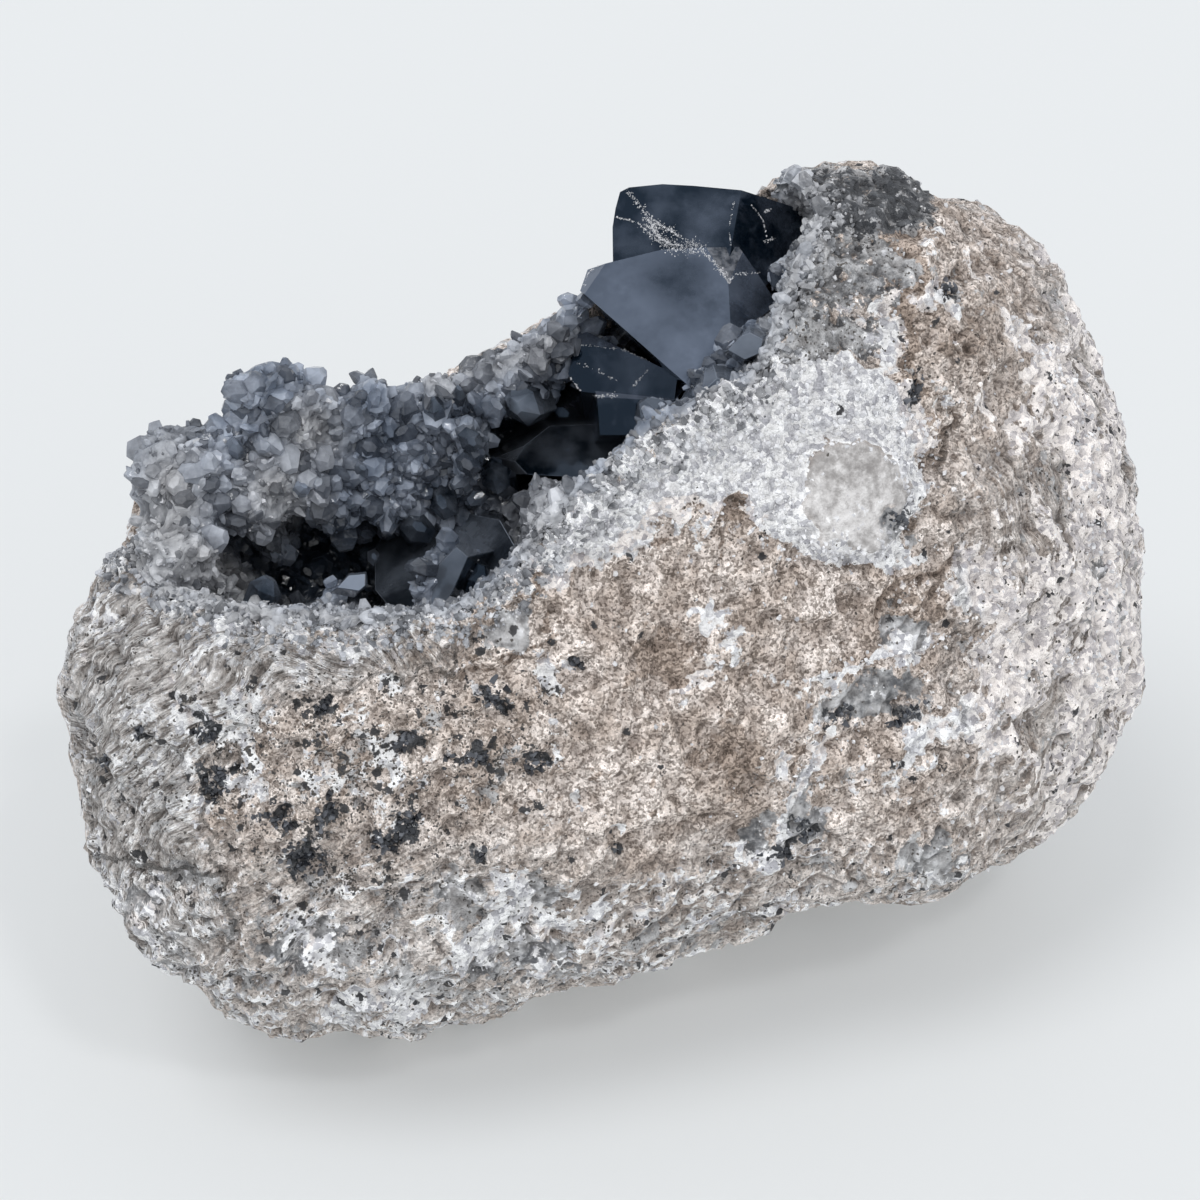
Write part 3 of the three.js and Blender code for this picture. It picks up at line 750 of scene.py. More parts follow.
    # how far each point stands out, finely and broadly, for painted shade in the crevices and
    # painted light on the crests
    keep_values(piece, "relief", np.clip(0.5 + 0.6 * crests(piece, 6), 0, 1),
                np.clip(0.5 + 0.35 * crests(piece, 40), 0, 1), lens)
    attribute = piece.data.attributes.new("flow", "FLOAT_VECTOR", "POINT")
    attribute.data.foreach_set("vector", flow.astype(np.float32).ravel())
    piece.data.shade_smooth()
    return piece


# ---------------------------------------------------------------- small crystals


def stub(name, sides, shoulder, top, squash=1.0):
    """One short crystal, 1 wide and 1 long, base at the origin: corners and faces."""
    bpy.ops.object.select_all(action="DESELECT")
    bpy.ops.mesh.primitive_cylinder_add(vertices=sides, radius=0.5, depth=shoulder,
                                        location=(0, 0, shoulder / 2))
    made = bpy.context.object
    made.name = name
    bpy.ops.object.transform_apply(location=True)
    edit_faces(made, [face.normal.z > 0.9 for face in made.data.polygons])
    bpy.ops.mesh.extrude_region_move(TRANSFORM_OT_translate={"value": (0, 0, 1 - shoulder)})
    bpy.ops.transform.resize(value=(top, top * squash, 1))
    bpy.ops.object.mode_set(mode="OBJECT")
    corners = points_of(made)
    faces = [list(face.vertices) for face in made.data.polygons]
    bpy.data.objects.remove(made)
    return corners, faces


def frames_along(axes, rolls):
    """Three square directions for each axis, turned about it."""
    axes = axes / np.linalg.norm(axes, axis=1, keepdims=True)
    aside = np.where(np.abs(axes[:, :1]) < 0.8, [[1.0, 0, 0]], [[0, 1.0, 0]])
    x = np.cross(axes, aside)
    x /= np.linalg.norm(x, axis=1, keepdims=True)
    y = np.cross(axes, x)
    c, s = np.cos(rolls)[:, None], np.sin(rolls)[:, None]
    return x * c + y * s, y * c - x * s, axes


def grow(name, shape, places, axes, rolls, widths, thicknesses, lengths, *values):
    """Many crystals in one mesh, each from its own place along its own axis.

    The values are kept with each crystal, the first of them its tone.
    """
    corners, faces = shape
    x, y, z = frames_along(axes, rolls)
    grown = (places[:, None] + x[:, None] * (corners[None, :, :1] * widths[:, None, None])
             + y[:, None] * (corners[None, :, 1:2] * thicknesses[:, None, None])
             + z[:, None] * (corners[None, :, 2:] * lengths[:, None, None]))
    count = len(corners)
    mesh = bpy.data.meshes.new(name)
    mesh.from_pydata(grown.reshape(-1, 3).tolist(), [],
                     [[i + n * count for i in face] for n in range(len(places)) for face in faces])
    mesh.validate()
    piece = piece_from(name, mesh)
    tone, *others = [np.repeat(value, count) for value in values]
    uneven = np.random.default_rng(2).normal(0, 0.12, len(tone))
    keep_values(piece, "growth", np.clip(tone + uneven, 0, 1), *others)
    return piece


def strew(name, shape, rng, ground, width, lean, sunk, thick, tall, low, high, power=1, cream=0.0):
    """Grains partly sunk in the ground, each leaning its own way, their tones from low to high."""
    place, normal = ground
    count = len(place)
    return grow(name, shape, place - normal * (sunk * width)[:, None],
                normal + rng.normal(0, lean, (count, 3)), rng.random(count) * math.pi, width,
                thick * width, tall * width, low + (high - low) * rng.random(count) ** power,
                cream + 0 * width)


def scatter(rng, piece, count, weights):
    """Places on a piece's surface, as likely as the weights on it, with normals."""
    mesh = piece.data
    mesh.calc_loop_triangles()
    index = np.empty(len(mesh.loop_triangles) * 3, np.int32)
    mesh.loop_triangles.foreach_get("vertices", index)
    index = index.reshape(-1, 3)
    points = points_of(piece)
    a, b, c = points[index[:, 0]], points[index[:, 1]], points[index[:, 2]]
    normal = np.cross(b - a, c - a)
    area = np.linalg.norm(normal, axis=1)
    chance = area * weights[index].mean(1)
    chosen = rng.choice(len(index), count, p=chance / chance.sum())
    r, s = np.sqrt(rng.random(count)), rng.random(count)
    place = (a[chosen] * (1 - r)[:, None] + b[chosen] * (r * (1 - s))[:, None]
             + c[chosen] * (r * s)[:, None])
    vertex_normals = normals_of(piece)
    smooth = vertex_normals[index[chosen]].mean(1)
    return place, smooth / (np.linalg.norm(smooth, axis=1, keepdims=True) + 1e-12)


def joined(name, pieces):
    pick(pieces[0])
    for piece in pieces[1:]:
        piece.select_set(True)
    bpy.ops.object.join()
    pieces[0].name = name
    return pieces[0]


# ---------------------------------------------------------------- the crust in the hollow

# Crust with rock this close in front of it lies against the rock.
ROCK_NEAR = 2.2 * MM
# The share of the small crystals painted near white as painted glints, and how wide they are at
# most.
GLINTS, WIDEST_GLINT = 0.12, 1.4 * MM
# Medium crystals: root and tip in the face frame, width, thickness and how pale they are.
MEDIUM_CRYSTALS = [
    ((-26, -3, 33), (-23, 7, 36), 8, 5, 0.08),
    ((-66, -3, 34), (-63, 4.2, 37), 7, 5, 0.2),
    ((13, 32, 36), (8, 38, 38), 8, 6, 0.25),
    ((39.5, 59, 28), (33, 64, 31), 8, 6, 0.2),
]
# Medium crystals on the walls: where they root on the face, direction, width, length, paleness.
WALL_CRYSTALS = [
    ((-33, 38), (-0.1, 0.5, 0.8), 6.0, 7, 0.24),
    ((-29, 40), (0.2, 0.5, 0.8), 4.0, 6, 0.4),
    ((-26, 32), (0.1, -0.1, 1.0), 6, 6, 0.1),
    ((-31, 20), (-0.1, -0.1, 1.0), 8, 7, 0.1),
    ((-45, 8), (0.0, 0.2, 1.0), 4, 5, 0.6),
    ((-60, 22), (0.3, 0.2, 0.9), 3.5, 5, 0.9),
    ((-48, 26), (0.2, 0.1, 1.0), 4, 5, 0.35),
    ((-20, 24), (-0.3, 0.2, 1.0), 8, 8, 0.06),
    ((-14, 40), (-0.4, -0.2, 0.9), 10, 11, 0.2),
    ((-6, 38), (-0.2, -0.1, 0.9), 9, 11, 0.08),
    ((-37, 14), (0.2, 0.1, 1.0), 8, 8, 0.14),
    ((-24, 12), (-0.3, 0.1, 0.9), 8, 8, 0.14),
    ((-73, 30), (0.1, 0.4, 0.9), 4, 5, 0.4),
]


def make_crust(rock_tree):
    """The crust: rounded lumps on its open side, its back pressed into the rock."""
    piece = copy_of("crystal_crust", "druse_crust")
    finish_with(piece, "REMESH", mode="VOXEL", voxel_size=CRUST_VOXEL)
    finish_with(piece, "SMOOTH", factor=0.5, iterations=3)
    points = points_of(piece)
    u, v, w = across_face(points)
    inner = 1 - ease(stroke(u, v, RIM, 3.2), 0.3, 0.8) * ease(w, 30, 38)
    free = open_side(piece, rock_tree)
    lumps = (1.4 * ripple(points, 13, 2, 4.0) + 1.0 * np.abs(ripple(points, 6, 2, 9.0))
             + 0.35 * ripple(points, 2, 2, 1.0))
    lift(piece, free * inner * (lumps - 1.2) + 0.9 * (1 - free)
         + (1 - inner) * (0.7 * ripple(points, 3, 2, 6.0) - 0.4))
    return piece


def open_side(piece, rock_tree):
    """1 where the crust faces the open hollow, 0 where it lies against the rock."""
    return np.array([
        1.0 * (rock_tree.ray_cast(Vector(point + normal * 0.2 * MM), Vector(normal), ROCK_NEAR)[0]
               is None) for point, normal in zip(points_of(piece), normals_of(piece))])


def growth_at(points):
    """How creamy the druse is at each point, and how far down in the hollow it lies, which sets its
    painted shade.
    """
    u, v, w = across_face(points)
    cream = most(spot(u, v, (-58, 34), (5, 5)), spot(u, v, (-65, 21), (7, 7)),
                 spot(u, v, (-86, 20), (6, 12)), spot(u, v, (-10, 12), (7, 14)),
                 0.95 * region(u, v, [(-108, 20), (-84, 17), (-68, 5), (-60, -8), (-108, -8)], 3),
                 0.7 * stroke(u, v, [(-34, 44), (-20, 47), (-8, 52)], 3),
                 spot(u, v, (43, 79), (9, 9)))
    rim = stroke(u, v, RIM, 2.4)
    # painted shade: darker the further down the druse lies in the hollow, and in the pockets
    lining = w + 0.25 * u - 0.12 * v
    depth = ease(lining, 21, -16)
    depth = most(depth, 0.9 * spot(u, v, (-58, 14), (8, 5)), 0.8 * spot(u, v, (-44, 10), (14, 7)),
                 0.9 * spot(u, v, (-19, 26), (10, 12)), 0.8 * spot(u, v, (-2, 40), (12, 7)))
    depth = depth * (1 - 0.6 * ease(cream, 0.3, 0.7))
    return np.clip(1.2 * cream, 0, 1), depth, rim


def grow_druse(crust, free):
    """The small crystals that cover the crust, as one piece of each kind."""
    rng = np.random.default_rng(12)
    points = points_of(crust)
    u, v, _ = across_face(points)
    cream, depth, rim = growth_at(points)
    # painted shade and light: the crust is darker in its hollows and paler on its crests, and gets
    # painted shade in the pockets
    painted_crest_shade = np.clip(0.5 + 0.7 * crests(crust, 10), 0, 1)
    keep_values(crust, "growth", painted_crest_shade, most(cream, rim), depth * (1 - rim))
    pieces = []
    block = stub("block", 6, 0.62, 0.5, 0.75)
    wedge = stub("wedge", 6, 0.55, 0.75, 0.3)
    grain = stub("grain", 4, 0.55, 0.65)
    # where each kind grows: the large face out of the hollow, the fine sugar the pale parts
    facing = normals_of(crust) @ OUTWARD
    inward = free * (1 - 0.9 * most(cream, rim)) * ease(facing, 0.35, 0.65)
    inward = inward * (1 - ease(stroke(u, v, RIM, 6), 0.1, 0.5))
    blocky = free * (1 - 0.55 * most(cream, rim)) * (0.15 + 0.85 * ease(facing, 0.05, 0.4))
    sugary = most(free, rim) * (0.25 + 2.2 * most(cream, rim))
    # how many, least and greatest width, height and depth sunk in as shares of it, and lean
    for name, shape, count, low, high, tall, sunk, lean, weights in (
            ("chunks", block, 760, 3.0, 6.6, 0.85, 0.5, 0.4, inward),
            ("blocks", block, 1000, 1.5, 3.6, 1.1, 0.55, 0.5, blocky),
            ("wedges", wedge, 900, 1.3, 3.6, 1.1, 0.55, 0.5, blocky),
            ("grains", grain, 5500, 0.6, 1.6, 1.1, 0.5, 0.7, sugary)):
        place, normal = scatter(rng, crust, count, weights)
        axes = normal + rng.normal(0, lean, (count, 3))
        width = (low + (high - low) * rng.random(count) ** 2.2) * MM
        # how creamy each crystal is, its painted shade in the pockets, and how near the rim it is
        creamy, pocket_shade, near_rim = growth_at(place)
        # painted glints: a share of the smallest crystals gets the palest tone and full cream, and
        # less painted shade
        chance = np.random.default_rng(4).random(count)
        glint = 1.0 * (chance < GLINTS) * (width < WIDEST_GLINT)
        pieces.append(grow(
            name, shape, place - normal * (sunk * width)[:, None], axes,
            rng.random(count) * math.pi, width, width * (0.6 + 0.4 * rng.random(count)),
            width * tall * (0.8 + 0.5 * rng.random(count)), most(rng.random(count), 1.3 * glint),
            most(creamy, near_rim, glint), pocket_shade * (1 - near_rim) * (1 - 0.7 * glint)))
    return pieces


def medium_crystals(crust_tree):
    """The medium crystals, each placed on its own."""
    rng = np.random.default_rng(5)
    rows = []
    for root, tip, width, thickness, tone in MEDIUM_CRYSTALS:
        start, end = at(*root), at(*tip)
        rows.append((start, end - start, width * MM, thickness * MM, np.linalg.norm(end - start),
                     tone))
    for (u, v), (du, dv, dw), width, length, tone in WALL_CRYSTALS:
        found, _ = meet(crust_tree, u, v)
        axis = ACROSS * du + UPWARD * dv + OUTWARD * dw
        axis /= np.linalg.norm(axis)
        rows.append((np.array(found) - axis * 0.3 * length * MM, axis, width * MM,
                     0.75 * width * MM, length * MM, tone))
    places, axes, widths, thicknesses, lengths, tones = map(np.array, zip(*rows))
    return grow("medium_crystals", stub("prism", 6, 0.72, 0.4, 0.8), places, axes,
                0.4 + 0.8 * rng.random(len(places)), widths, thicknesses, lengths, tones)


# ---------------------------------------------------------------- the large crystals

# Each one: the outline of its main facet as it shows on the face, three points of that facet with
# their heights and its tone, how each edge's side facet leans out and its tone, further facets as
# three points and a tone, and how far back it goes. The tones are partly each crystal's own
# paleness and partly painted light and shade, each facet paler or darker for how the light falls on
# it. A tone below 0 means a broken, rough facet. The first four have grown together.
GROWN_TOGETHER = 4
LARGE_CRYSTALS = [
    ("front_crystal",
     [(-3.1, 61.2), (1.1, 67.3), (12.5, 70.1), (21.3, 70.5), (25.7, 63.4), (26.2, 52.7),
      (25.3, 50.2), (21.7, 45.6), (18.2, 42.4)],
     [(-3, 60.9, 30), (18.2, 42.4, 40), (12.5, 70.1, 25)], 0.39,
     [(0.5, 0.55), (0.0, 0.2), (0.0, 0.2), (1.6, -0.34), (1.5, 0.22), (1.4, 0.25), (0.4, 0.2),
      (0.1, 0.1), (0.0, 0.03)],
     [((-3.1, 61.2, 30), (18.2, 42.4, 40), (14.3, 39.2, 30), 0.03),
      ((-3.1, 60.7, 30), (14.3, 39.2, 30), (4, 52.6, -10), 0.02),
      ((-3.9, 62.0, 26), (-2.1, 67.2, 24), (-3, 64.4, -10), 0.3),
      ((26, 73, 14), (31.5, 65.2, 18), (28, 69.6, -10), 0.15),
      ((31.5, 65.2, 18), (36.6, 57.3, 20), (34, 60.6, -10), 0.15),
      ((35.4, 53.6, 22), (36.6, 57.3, 20), (36, 55.4, -10), 0.1)], 2),
    ("back_crystal",
     [(2.7, 58), (2.5, 74.5), (3.1, 78.3), (4.0, 81.6), (5.8, 82.5), (12.5, 83.1), (18.7, 82.7),
      (29.4, 81.6), (25.0, 58)],
     [(5, 82, 14), (30, 82, 16), (26, 66, 25)], 0.055,
     [(-0.1, 0.1)] * 2 + [(-0.1, 0.2)] * 2 + [(-0.1, 0.1)] * 3 + [(1.15, 0.0), (-0.1, 0.1)],
     [((33.5, 81.9, 12), (41.6, 77.2, 6), (38, 79, -20), 0.05),
      ((45.4, 76.1, 3), (45.4, 73.4, 3), (45.4, 75, -20), 0.05),
      ((45.4, 73.4, 3), (35.1, 64.6, 14), (40, 69, -20), 0.05)], -2),
    ("dark_crystal",
     [(-7.4, 47.6), (-7.3, 51.6), (4.5, 50.2), (15.5, 45), (14.8, 39.4), (-3.8, 41.7),
      (-5.9, 44.3)],
     [(-7.3, 50, 17), (-3.8, 41.9, 19), (14, 42, 26)], 0.03,
     [(0.1, 0.05), (1.5, 0.27), (0.1, 0.1), (0.1, 0.1), (0.2, 0.05), (0.1, 0.05), (0.1, 0.05)],
     [((-7.3, 51.6, 17), (4.5, 50.2, 22), (-3, 59.8, 13), 0.27),
      ((-7.3, 51.6, 17), (-3.8, 55.6, 15), (-5, 54, -20), 0.1),
      ((-3.8, 55.6, 15), (-2.6, 60.4, 13), (-3, 58, -20), 0.1)], -10),
    ("mouth_crystal",
     [(-0.6, 40.6), (14.8, 39.8), (10.5, 33), (0, 33)],
     [(0, 40, 23), (14, 39, 27), (8, 34, 25)], 0.03,
     [(0.5, 0.5), (0.1, 0.1), (0.1, 0.1), (0.1, 0.1)], [], -10),
    ("pocket_crystal",
     [(-17, 27.7), (-15.1, 30.9), (-10, 34.8), (6, 35.4), (6, 24), (-14.5, 25.1)],
     [(-15, 28, 13), (-10, 34, 9), (4, 25, 16)], 0.05,
     [(0.6, 0.3), (0.3, 0.2), (0.2, 0.3), (0.0, 0.1), (0.0, 0.0), (0.5, 0.5)], [], -12),
    ("long_crystal",
     [(-28.8, 10.6), (-26.4, 8.6), (-29.5, 1.5), (-36, -8), (-41, -8), (-33.6, 5.5)],
     [(-29, 10, 42), (-39, -6, 36), (-27, 6, 44)], 0.36,
     [(0.2, 0.5), (0.2, 0.12), (0.2, 0.12), (0.0, 0.1), (0.0, 0.55), (0.2, 0.4)], [], 26),
    ("floor_crystal",
     [(-45, 2), (-45, 11), (-39, 16.5), (-30, 18), (-20, 16), (-16, 9), (-18, 1), (-27, -4),
      (-40, -4)],
     [(-45, 5, 12), (-20, 15, 22), (-28, -2, 34)], 0.15,
     [(0.2, 0.1), (0.3, 0.2), (0.3, 0.15), (0.2, 0.15)] + [(0.0, 0.1)] * 5, [], -6),
    ("rim_crystal",
     [(18.4, 37), (20.4, 41.6), (23.4, 44.4), (28.3, 43.1), (30.4, 40.2), (30, 37.6), (22.4, 35)],
     [(17, 37, 54), (23, 45, 48), (31, 40, 52)], 0.27,
     [(0.2, 0.35), (0.4, 0.5), (0.4, 0.4), (0.3, 0.3)] + [(0.2, 0.2)] * 3, [], 36),
    ("pale_crystal",
     [(25.6, 50.0), (28.2, 52.8), (30.1, 53.4), (32.6, 52.1), (32.2, 49.5), (28.9, 48.1)],
     [(26, 50, 47), (30, 54, 44), (32, 50, 49)], 0.42,
     [(0.1, 0.3), (0.3, 0.6), (0.3, 0.6), (0.2, 0.5), (0.1, 0.3), (0.1, 0.3)], [], 34),
    ("white_blade",
     [(-52.6, 2.4), (-50.3, 4.9), (-46.9, 5.2), (-46.9, 2.9), (-48.2, 1.8)],
     [(-53, 1.6, 51), (-47, 4.9, 49), (-48, 1.4, 52)], 0.9,
     [(0.1, 0.6), (0.1, 0.6), (0.0, 0.4), (0.0, 0.5), (0.2, 0.5)], [], 44),
]
# Soft pale and dark places painted on the large crystals as painted light and painted shade: place,
# reach and gain.
GLOWS = [((2, 57, 30), 14, 0.18), ((16, 47, 37), 12, 0.2), ((15, 64, 28), 12, -0.24),
         ((22, 77, 18), 8, 0.16), ((6, 79, 15), 9, -0.1), ((19, 71, 22), 6, 0.16),
         ((12, 77, 18), 6, 0.08), ((-4, 57, 14), 5, 0.14), ((6, 45, 22), 7, 0.08)]
# White fracture lines on the large crystals, and pale lines along some of their edges as painted
# highlights: points on the face, half width and how many chips.
VEINS_AND_HIGHLIGHTS = [
    ([(5.4, 82), (8.2, 78.4), (10, 76.2)], 0.6, 110),
    ([(9, 76.6), (12, 74.6), (15, 73.8)], 1.0, 150),
    ([(9.4, 75.4), (12, 72.4), (14.6, 70.6), (20.2, 70.4)], 1.5, 640),
    ([(9.6, 76), (11.6, 72.6), (14.8, 70.8)], 0.25, 160), ([(10.4, 76.2), (16, 72.6)], 0.2, 120),
    ([(3.2, 76.6), (7.6, 75.4), (9.6, 73.6), (12.4, 71)], 0.16, 130),
    ([(15, 73.4), (18, 71.6), (20.4, 70.6)], 0.5, 70),
    ([(20, 70.2), (23.4, 67), (25.7, 63.4)], 0.35, 130),
    ([(25.7, 63.4), (27.2, 65.2), (32, 65.4)], 0.2, 90),
    ([(23.6, 66.6), (25.6, 64.2)], 0.7, 90),
    ([(-3.2, 62.6), (-2.4, 65.4), (0.6, 67.4)], 0.16, 60),
    ([(30.2, 79), (32.6, 76), (33.2, 72.6)], 0.14, 50),
    ([(32.8, 77.6), (34, 78)], 0.3, 30), ([(32.6, 71.6), (34.8, 72.4)], 0.3, 40),
    ([(26.8, 79.6), (25.8, 74), (26.2, 71)], 0.1, 50),
    ([(-1.2, 40.8), (3.4, 40.9)], 0.35, 90), ([(6.6, 42.6), (9.6, 46)], 0.2, 50),
    ([(25.8, 46.2), (28.8, 43.4)], 0.15, 40), ([(24.4, 48.2), (29.6, 43.6)], 0.1, 40),
    ([(-7.2, 51.4), (4.5, 50.1), (10, 47.7)], 0.06, 90), ([(-3.8, 41.8), (-5.9, 44.4)], 0.06, 30),
    ([(-6.6, 48), (-1, 46), (4, 43.4)], 0.3, 40),
]
# The block that each large crystal is cut from, and the bevel on its edges: its width, and how
# sharply an edge has to turn to get one.
BLOCK_SIZE = 0.16
BEVEL_WIDTH, BEVEL_TURN = 0.16 * MM, math.radians(12)
# How far in millimetres a face's middle may lie off a facet, and how much paler an edge is painted,
# as a painted highlight.
ON_FACET, EDGE_HIGHLIGHT = 0.3, 0.12


def facets_of(outline, main, tone, sides, further, back):
    """A crystal's facets, each as a point, an outward direction and a tone, partly painted light
    and shade, and its middle.
    """
    a, b, c = (np.array(point, float) for point in main)
    across = np.array([[a[0], a[1], 1], [b[0], b[1], 1], [c[0], c[1], 1]])
    tilt = np.linalg.solve(across, [a[2], b[2], c[2]])
    corners = [seen(u, v, tilt @ (u, v, 1)) for u, v in outline]
    middle = np.mean(corners, axis=0)
    inside = middle - OUTWARD * 0.5 * MM * (tilt @ (*np.mean(outline, axis=0), 1) - back)
    planes = [(corners[0], np.cross(corners[1] - corners[0], corners[2] - corners[0]), tone)]
    for (lean, side_shading), start, end in zip(sides, corners, corners[1:] + corners[:1]):
        run = end - start
        aside = np.cross(run, OUTWARD)
        aside /= np.linalg.norm(aside)
        if aside @ (start - middle) < 0:
            aside = -aside
        planes.append((start, np.cross(run, lean * aside - OUTWARD), side_shading))
    for one, two, three, side_shading in further:
        one, two, three = seen(*one), seen(*two), seen(*three)
        planes.append((one, np.cross(two - one, three - one), side_shading))
    planes.append((at(0, 0, back), -OUTWARD, tone))
    facets = []
    for point, direction, facet_shading in planes:
        direction = direction / np.linalg.norm(direction)
        if direction @ (inside - point) > 0:
            direction = -direction
        facets.append((point, direction, facet_shading))
    return facets, inside


def cut_crystal(name, facets, inside):
    """A crystal cut from a block, with one plane for each facet."""
    bpy.ops.object.select_all(action="DESELECT")
    bpy.ops.mesh.primitive_cube_add(size=BLOCK_SIZE, location=inside)
    piece = bpy.context.object
    piece.name = name
    bpy.ops.object.transform_apply(location=True)
    bpy.ops.object.mode_set(mode="EDIT")
    for point, direction, _ in facets:
        bpy.ops.mesh.select_all(action="SELECT")
        bpy.ops.mesh.bisect(plane_co=point, plane_no=direction, use_fill=True, clear_outer=True)
    bpy.ops.mesh.select_all(action="SELECT")
    bpy.ops.mesh.normals_make_consistent(inside=False)
    bpy.ops.object.mode_set(mode="OBJECT")
    return piece


def tint_facets(piece, facets):
    """Gives each face the tone of the facet that it lies on, partly painted light and shade, and
    the narrow edges a paler one as a painted highlight.
    """
    points = np.array([point for point, _, _ in facets])
    directions = np.array([direction for _, direction, _ in facets])
    tones = np.array([tone for _, _, tone in facets])
    faces = piece.data.polygons
    centres, normals = vectors(faces, "center", len(faces)), vectors(faces, "normal", len(faces))
    off = np.abs(((centres[:, None] - points[None]) * directions[None]).sum(2)) / MM
    off += 400 * (1 - normals @ directions.T)  # a turned face counts as far off
    nearest = tones[off.argmin(1)]
    # painted highlight: narrow edge faces are made paler
    tone = np.abs(nearest) + EDGE_HIGHLIGHT * (off.min(1) >= ON_FACET)
    broken = 1.0 * (nearest < 0)
    values = np.stack([tone, broken, 0.7 * broken, 0 * tone], 1).astype(np.float32)
    attribute = piece.data.attributes.new("growth", "FLOAT_COLOR", "FACE")
    attribute.data.foreach_set("color", values.ravel())


def make_large_crystals():
    """The great crystals, grown into one another, and the ones that stand alone below them."""
    grown, alone, facets = [], [], []
    for name, *shape in LARGE_CRYSTALS:
        own, inside = facets_of(*shape)
        facets += own
        where = grown if len(grown) < GROWN_TOGETHER else alone
        where.append(cut_crystal(name, own, inside))
    first, *others = grown
    for other in others:
        finish_with(first, "BOOLEAN", operation="UNION", solver="EXACT", object=other)
        bpy.data.objects.remove(other)
    second = joined("single_crystals", alone)
    for piece in (first, second):
        finish_with(piece, "BEVEL", width=BEVEL_WIDTH, segments=2, limit_method="ANGLE",
                    angle_limit=BEVEL_TURN)
        finish_with(piece, "WELD", merge_threshold=0.001 * MM)  # where bevels ran into each other
        tint_facets(piece, facets)
    first.name = "big_crystals"
    return first, second


def make_veins_and_highlights(tree):
    """White fracture lines, and painted highlights along some crystal edges, made of small chips
    along each line.
    """
    rng = np.random.default_rng(3)
    places, normals = [], []
    for line, half, count in VEINS_AND_HIGHLIGHTS:
        line = np.array(line, float)
        legs = np.linalg.norm(np.diff(line, axis=0), axis=1)
        along = rng.random(count) * legs.sum()
        stops = np.concatenate([[0], np.cumsum(legs)])
        u = np.interp(along, stops, line[:, 0]) + rng.normal(0, 0.5 * half, count)
        v = np.interp(along, stops, line[:, 1]) + rng.normal(0, 0.5 * half, count)
        for one in zip(u, v):
            found, normal = meet(tree, *one)
            if found is not None:
                places.append(found)
                normals.append(normal)
    width = (0.16 + 0.34 * rng.random(len(places)) ** 1.6) * MM
    return strew("white_veins_and_highlights", stub("chip", 4, 0.4, 0.5), rng,
                 (np.array(places), np.array(normals)), width, lean=0.9, sunk=0.4, thick=0.45,
                 tall=0.9, low=0.4, high=1.0, cream=1)


# ---------------------------------------------------------------- grains on the rock

SUGAR_GRAINS = 5200


def make_sugar(nodule):
    """Fine white grains that stand on the white crust."""
    rng = np.random.default_rng(8)
    points = points_of(nodule)
    u, v, _ = across_face(points)
    front = ease(normals_of(nodule) @ OUTWARD, 0.0, 0.2)
    off_lens = ease(np.hypot(u - LENS[0], v - LENS[1]), 9, 12)
    weights = front * off_lens * most(
        region(u, v, CRUST_BAND, 2), 0.1 * region(u, v, GREY_SHOULDER, 2),
        0.5 * ease(strokes(u, v, WHITE_STROKES), 0.4, 0.6),
        0.4 * ease(stroke(u, v, RIM, 3), 0.3, 0.6)) + 0.02 * ease(points[:, 2] / MM, 3.0, 6.0)
    place, normal = scatter(rng, nodule, SUGAR_GRAINS, weights)
    width = (0.5 + 0.8 * rng.random(SUGAR_GRAINS) ** 2) * MM
    axes = normal + rng.normal(0, 0.7, (SUGAR_GRAINS, 3))
    u, v, _ = across_face(place)
    tone = rng.random(SUGAR_GRAINS) * (1 - 0.35 * region(u, v, GREY_SHOULDER, 2))
    return grow("sugar_grains", stub("sugar", 4, 0.5, 0.6),
                place - normal * (0.45 * width)[:, None], axes,
                rng.random(SUGAR_GRAINS) * math.pi, width, 0.8 * width, 1.1 * width,
                tone, 1 + 0 * width)


def make_flecks(tree):
    """Small dark crystals in clusters on the rock."""
    rng = np.random.default_rng(21)
    places, normals, widths = [], [], []
    for (u, v), (ru, rv) in DARK_SPOTS:
        turn, slant = rng.normal(0, 0.5), rng.normal(0, 0.4)
        for _ in range(int(12 + 7 * ru * rv)):
            du, dv = rng.normal(0, 0.5, 2)
            found, normal = meet(tree, u + ru * (du + slant * dv), v + rv * (dv + turn * du))
            if found is not None:
                places.append(found)
                normals.append(normal)
                widths.append(0.5 + 1.5 * rng.random() ** 2)
    return strew("dark_flecks", stub("fleck", 4, 0.5, 0.45), rng,
                 (np.array(places), np.array(normals)), np.array(widths) * MM, lean=1.0, sunk=0.5,
                 thick=0.8, tall=1.1, low=0.0, high=1.0, power=2)


def make_rim_grains(nodule, crust):
    """Small pale crystals that spread from the druse over the rim and the slope behind it."""
    rng = np.random.default_rng(17)
    pieces = []
    # how many on each, how far they spread from the rim, and how thickly they cover the slope
    for surface, count, half, slope_share in ((nodule, 4400, 4.5, 0.25), (crust, 2600, 3.0, 0.0)):
        u, v, w = across_face(points_of(surface))
        front = ease(normals_of(surface) @ OUTWARD, -0.3, 0.1) * ease(w, 24, 34)
        weights = front * (ease(stroke(u, v, RIM, half), 0.1, 0.7)
                           + slope_share * region(u, v, SLOPE, 3)) + 1e-6
        ground = scatter(rng, surface, count, weights)
        width = (0.6 + 1.7 * rng.random(count) ** 3) * MM
        u, _, _ = across_face(ground[0])
        cream = 0.65 + 0.35 * most(ease(u, -30, 0), rng.random(count))
        pieces.append(strew("rim_grains", stub("rim_grain", 4, 0.55, 0.6), rng, ground, width,
                            lean=0.8, sunk=0.45, thick=0.8, tall=1.1, low=0.15, high=0.9,
                            cream=cream))
    return joined("rim_grains", pieces)


# ---------------------------------------------------------------- camera, floor and light


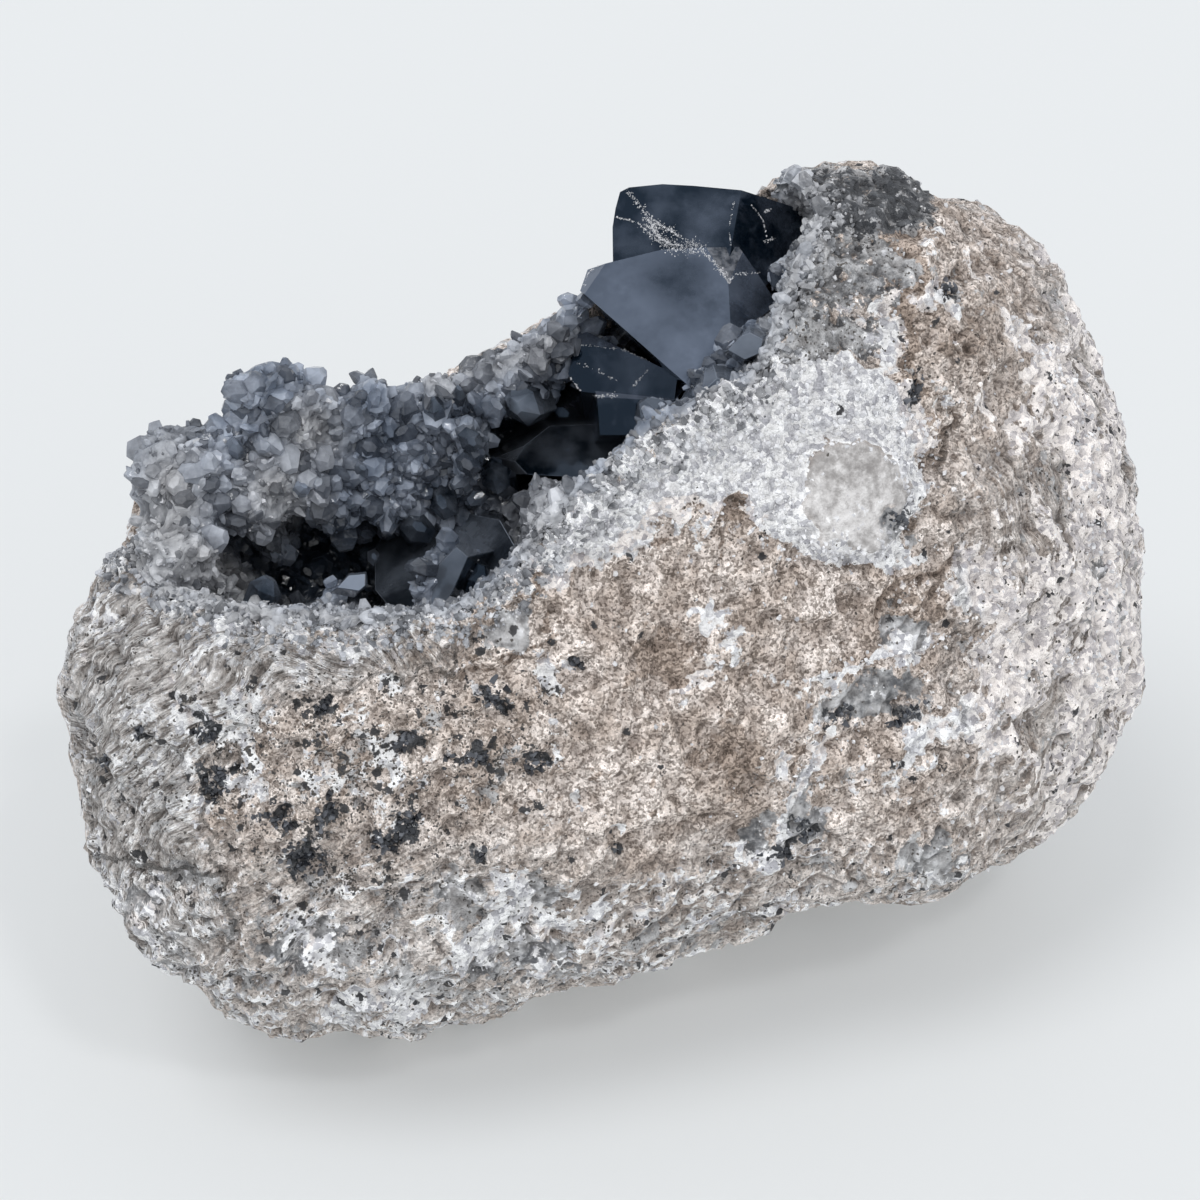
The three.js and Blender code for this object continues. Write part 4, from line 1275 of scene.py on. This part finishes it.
def make_stage():
    """A pale floor, soft light and the camera, square on to the broken face."""
    bpy.ops.object.select_all(action="DESELECT")
    bpy.ops.mesh.primitive_plane_add(size=6, location=(0, 0, 0))
    floor = bpy.context.object
    floor.name = "floor"
    f = Finish("pale_floor")
    f.shade(Base_Color=(0.6, 0.61, 0.615, 1), Roughness=0.9, Specular_IOR_Level=0.0,
            Emission_Color=(0.97, 1, 1, 1), Emission_Strength=0.22)
    floor.data.materials.append(f.material)

    camera = bpy.data.objects.new("camera", bpy.data.cameras.new("camera"))
    camera.data.lens = 120
    camera.data.sensor_width = 36
    camera.data.clip_end = 20
    camera.location = FACE_MIDDLE + OUTWARD * CAMERA_DISTANCE
    camera.rotation_euler = (math.pi / 2 - LEAN, 0, 0)
    bpy.context.scene.collection.objects.link(camera)
    bpy.context.scene.camera = camera

    world = bpy.data.worlds.new("soft_sky")
    world.use_nodes = True
    sky = world.node_tree.nodes["Background"].inputs
    sky["Color"].default_value, sky["Strength"].default_value = (0.93, 0.96, 1.0, 1), 0.66
    bpy.context.scene.world = world
    bpy.context.scene.view_settings.view_transform = "Standard"

    # where each lamp stands, how strong it is, how wide in degrees, and whether gloss shows it
    for name, place, energy, spread, glossy in (
            ("overhead", (-0.35, -0.3, 1), 0.78, 28, False),
            ("front_softbox", (0.3, -0.85, 0.5), 0.55, 60, False),
            ("spark", (0.35, -0.6, 0.9), 0.35, 7, True)):
        light = bpy.data.objects.new(name, bpy.data.lights.new(name, "SUN"))
        light.data.energy = energy
        light.data.angle = math.radians(spread)
        light.location = place
        light.rotation_euler = (-Vector(place)).to_track_quat("-Z", "Y").to_euler()
        light.visible_glossy = glossy
        bpy.context.scene.collection.objects.link(light)


# ---------------------------------------------------------------- putting it together

make_stage()

nodule = make_nodule()
dress(nodule, rock_finish())
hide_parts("nodule")
rock_tree = tree_of(nodule)
white_sugar = grain_finish("white_sugar", (176, 176, 180), (250, 250, 252), 0.4)
dark_glass = grain_finish("dark_glass", (24, 27, 33), (112, 115, 122), 0.2)
dress(make_sugar(nodule), white_sugar)
dress(make_flecks(rock_tree), dark_glass)

crust = make_crust(rock_tree)
free = open_side(crust, rock_tree)
druse = druse_finish()
grown = grow_druse(crust, free)
medium = medium_crystals(tree_of(crust))
dress(crust, druse)
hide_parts("crystal_crust")
dress(joined("druse_crystals", grown), druse)
dress(make_rim_grains(nodule, crust), druse)

big, single = make_large_crystals()
small = crystal_finish("small_celestite", (14, 22, 30), (178, 188, 204))
dress(medium, small)
dress(single, small)
clear = crystal_finish("clear_celestite", (4, 17, 29), (160, 172, 194), GLOWS)
dress(big, clear)
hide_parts("large_crystals")
# white chips: fracture lines, and painted highlights along some crystal edges
white_vein_and_highlight = grain_finish("white_vein_and_highlight", (150, 152, 156), (240, 240, 242), 0.35)
dress(make_veins_and_highlights(tree_of(big)), white_vein_and_highlight)
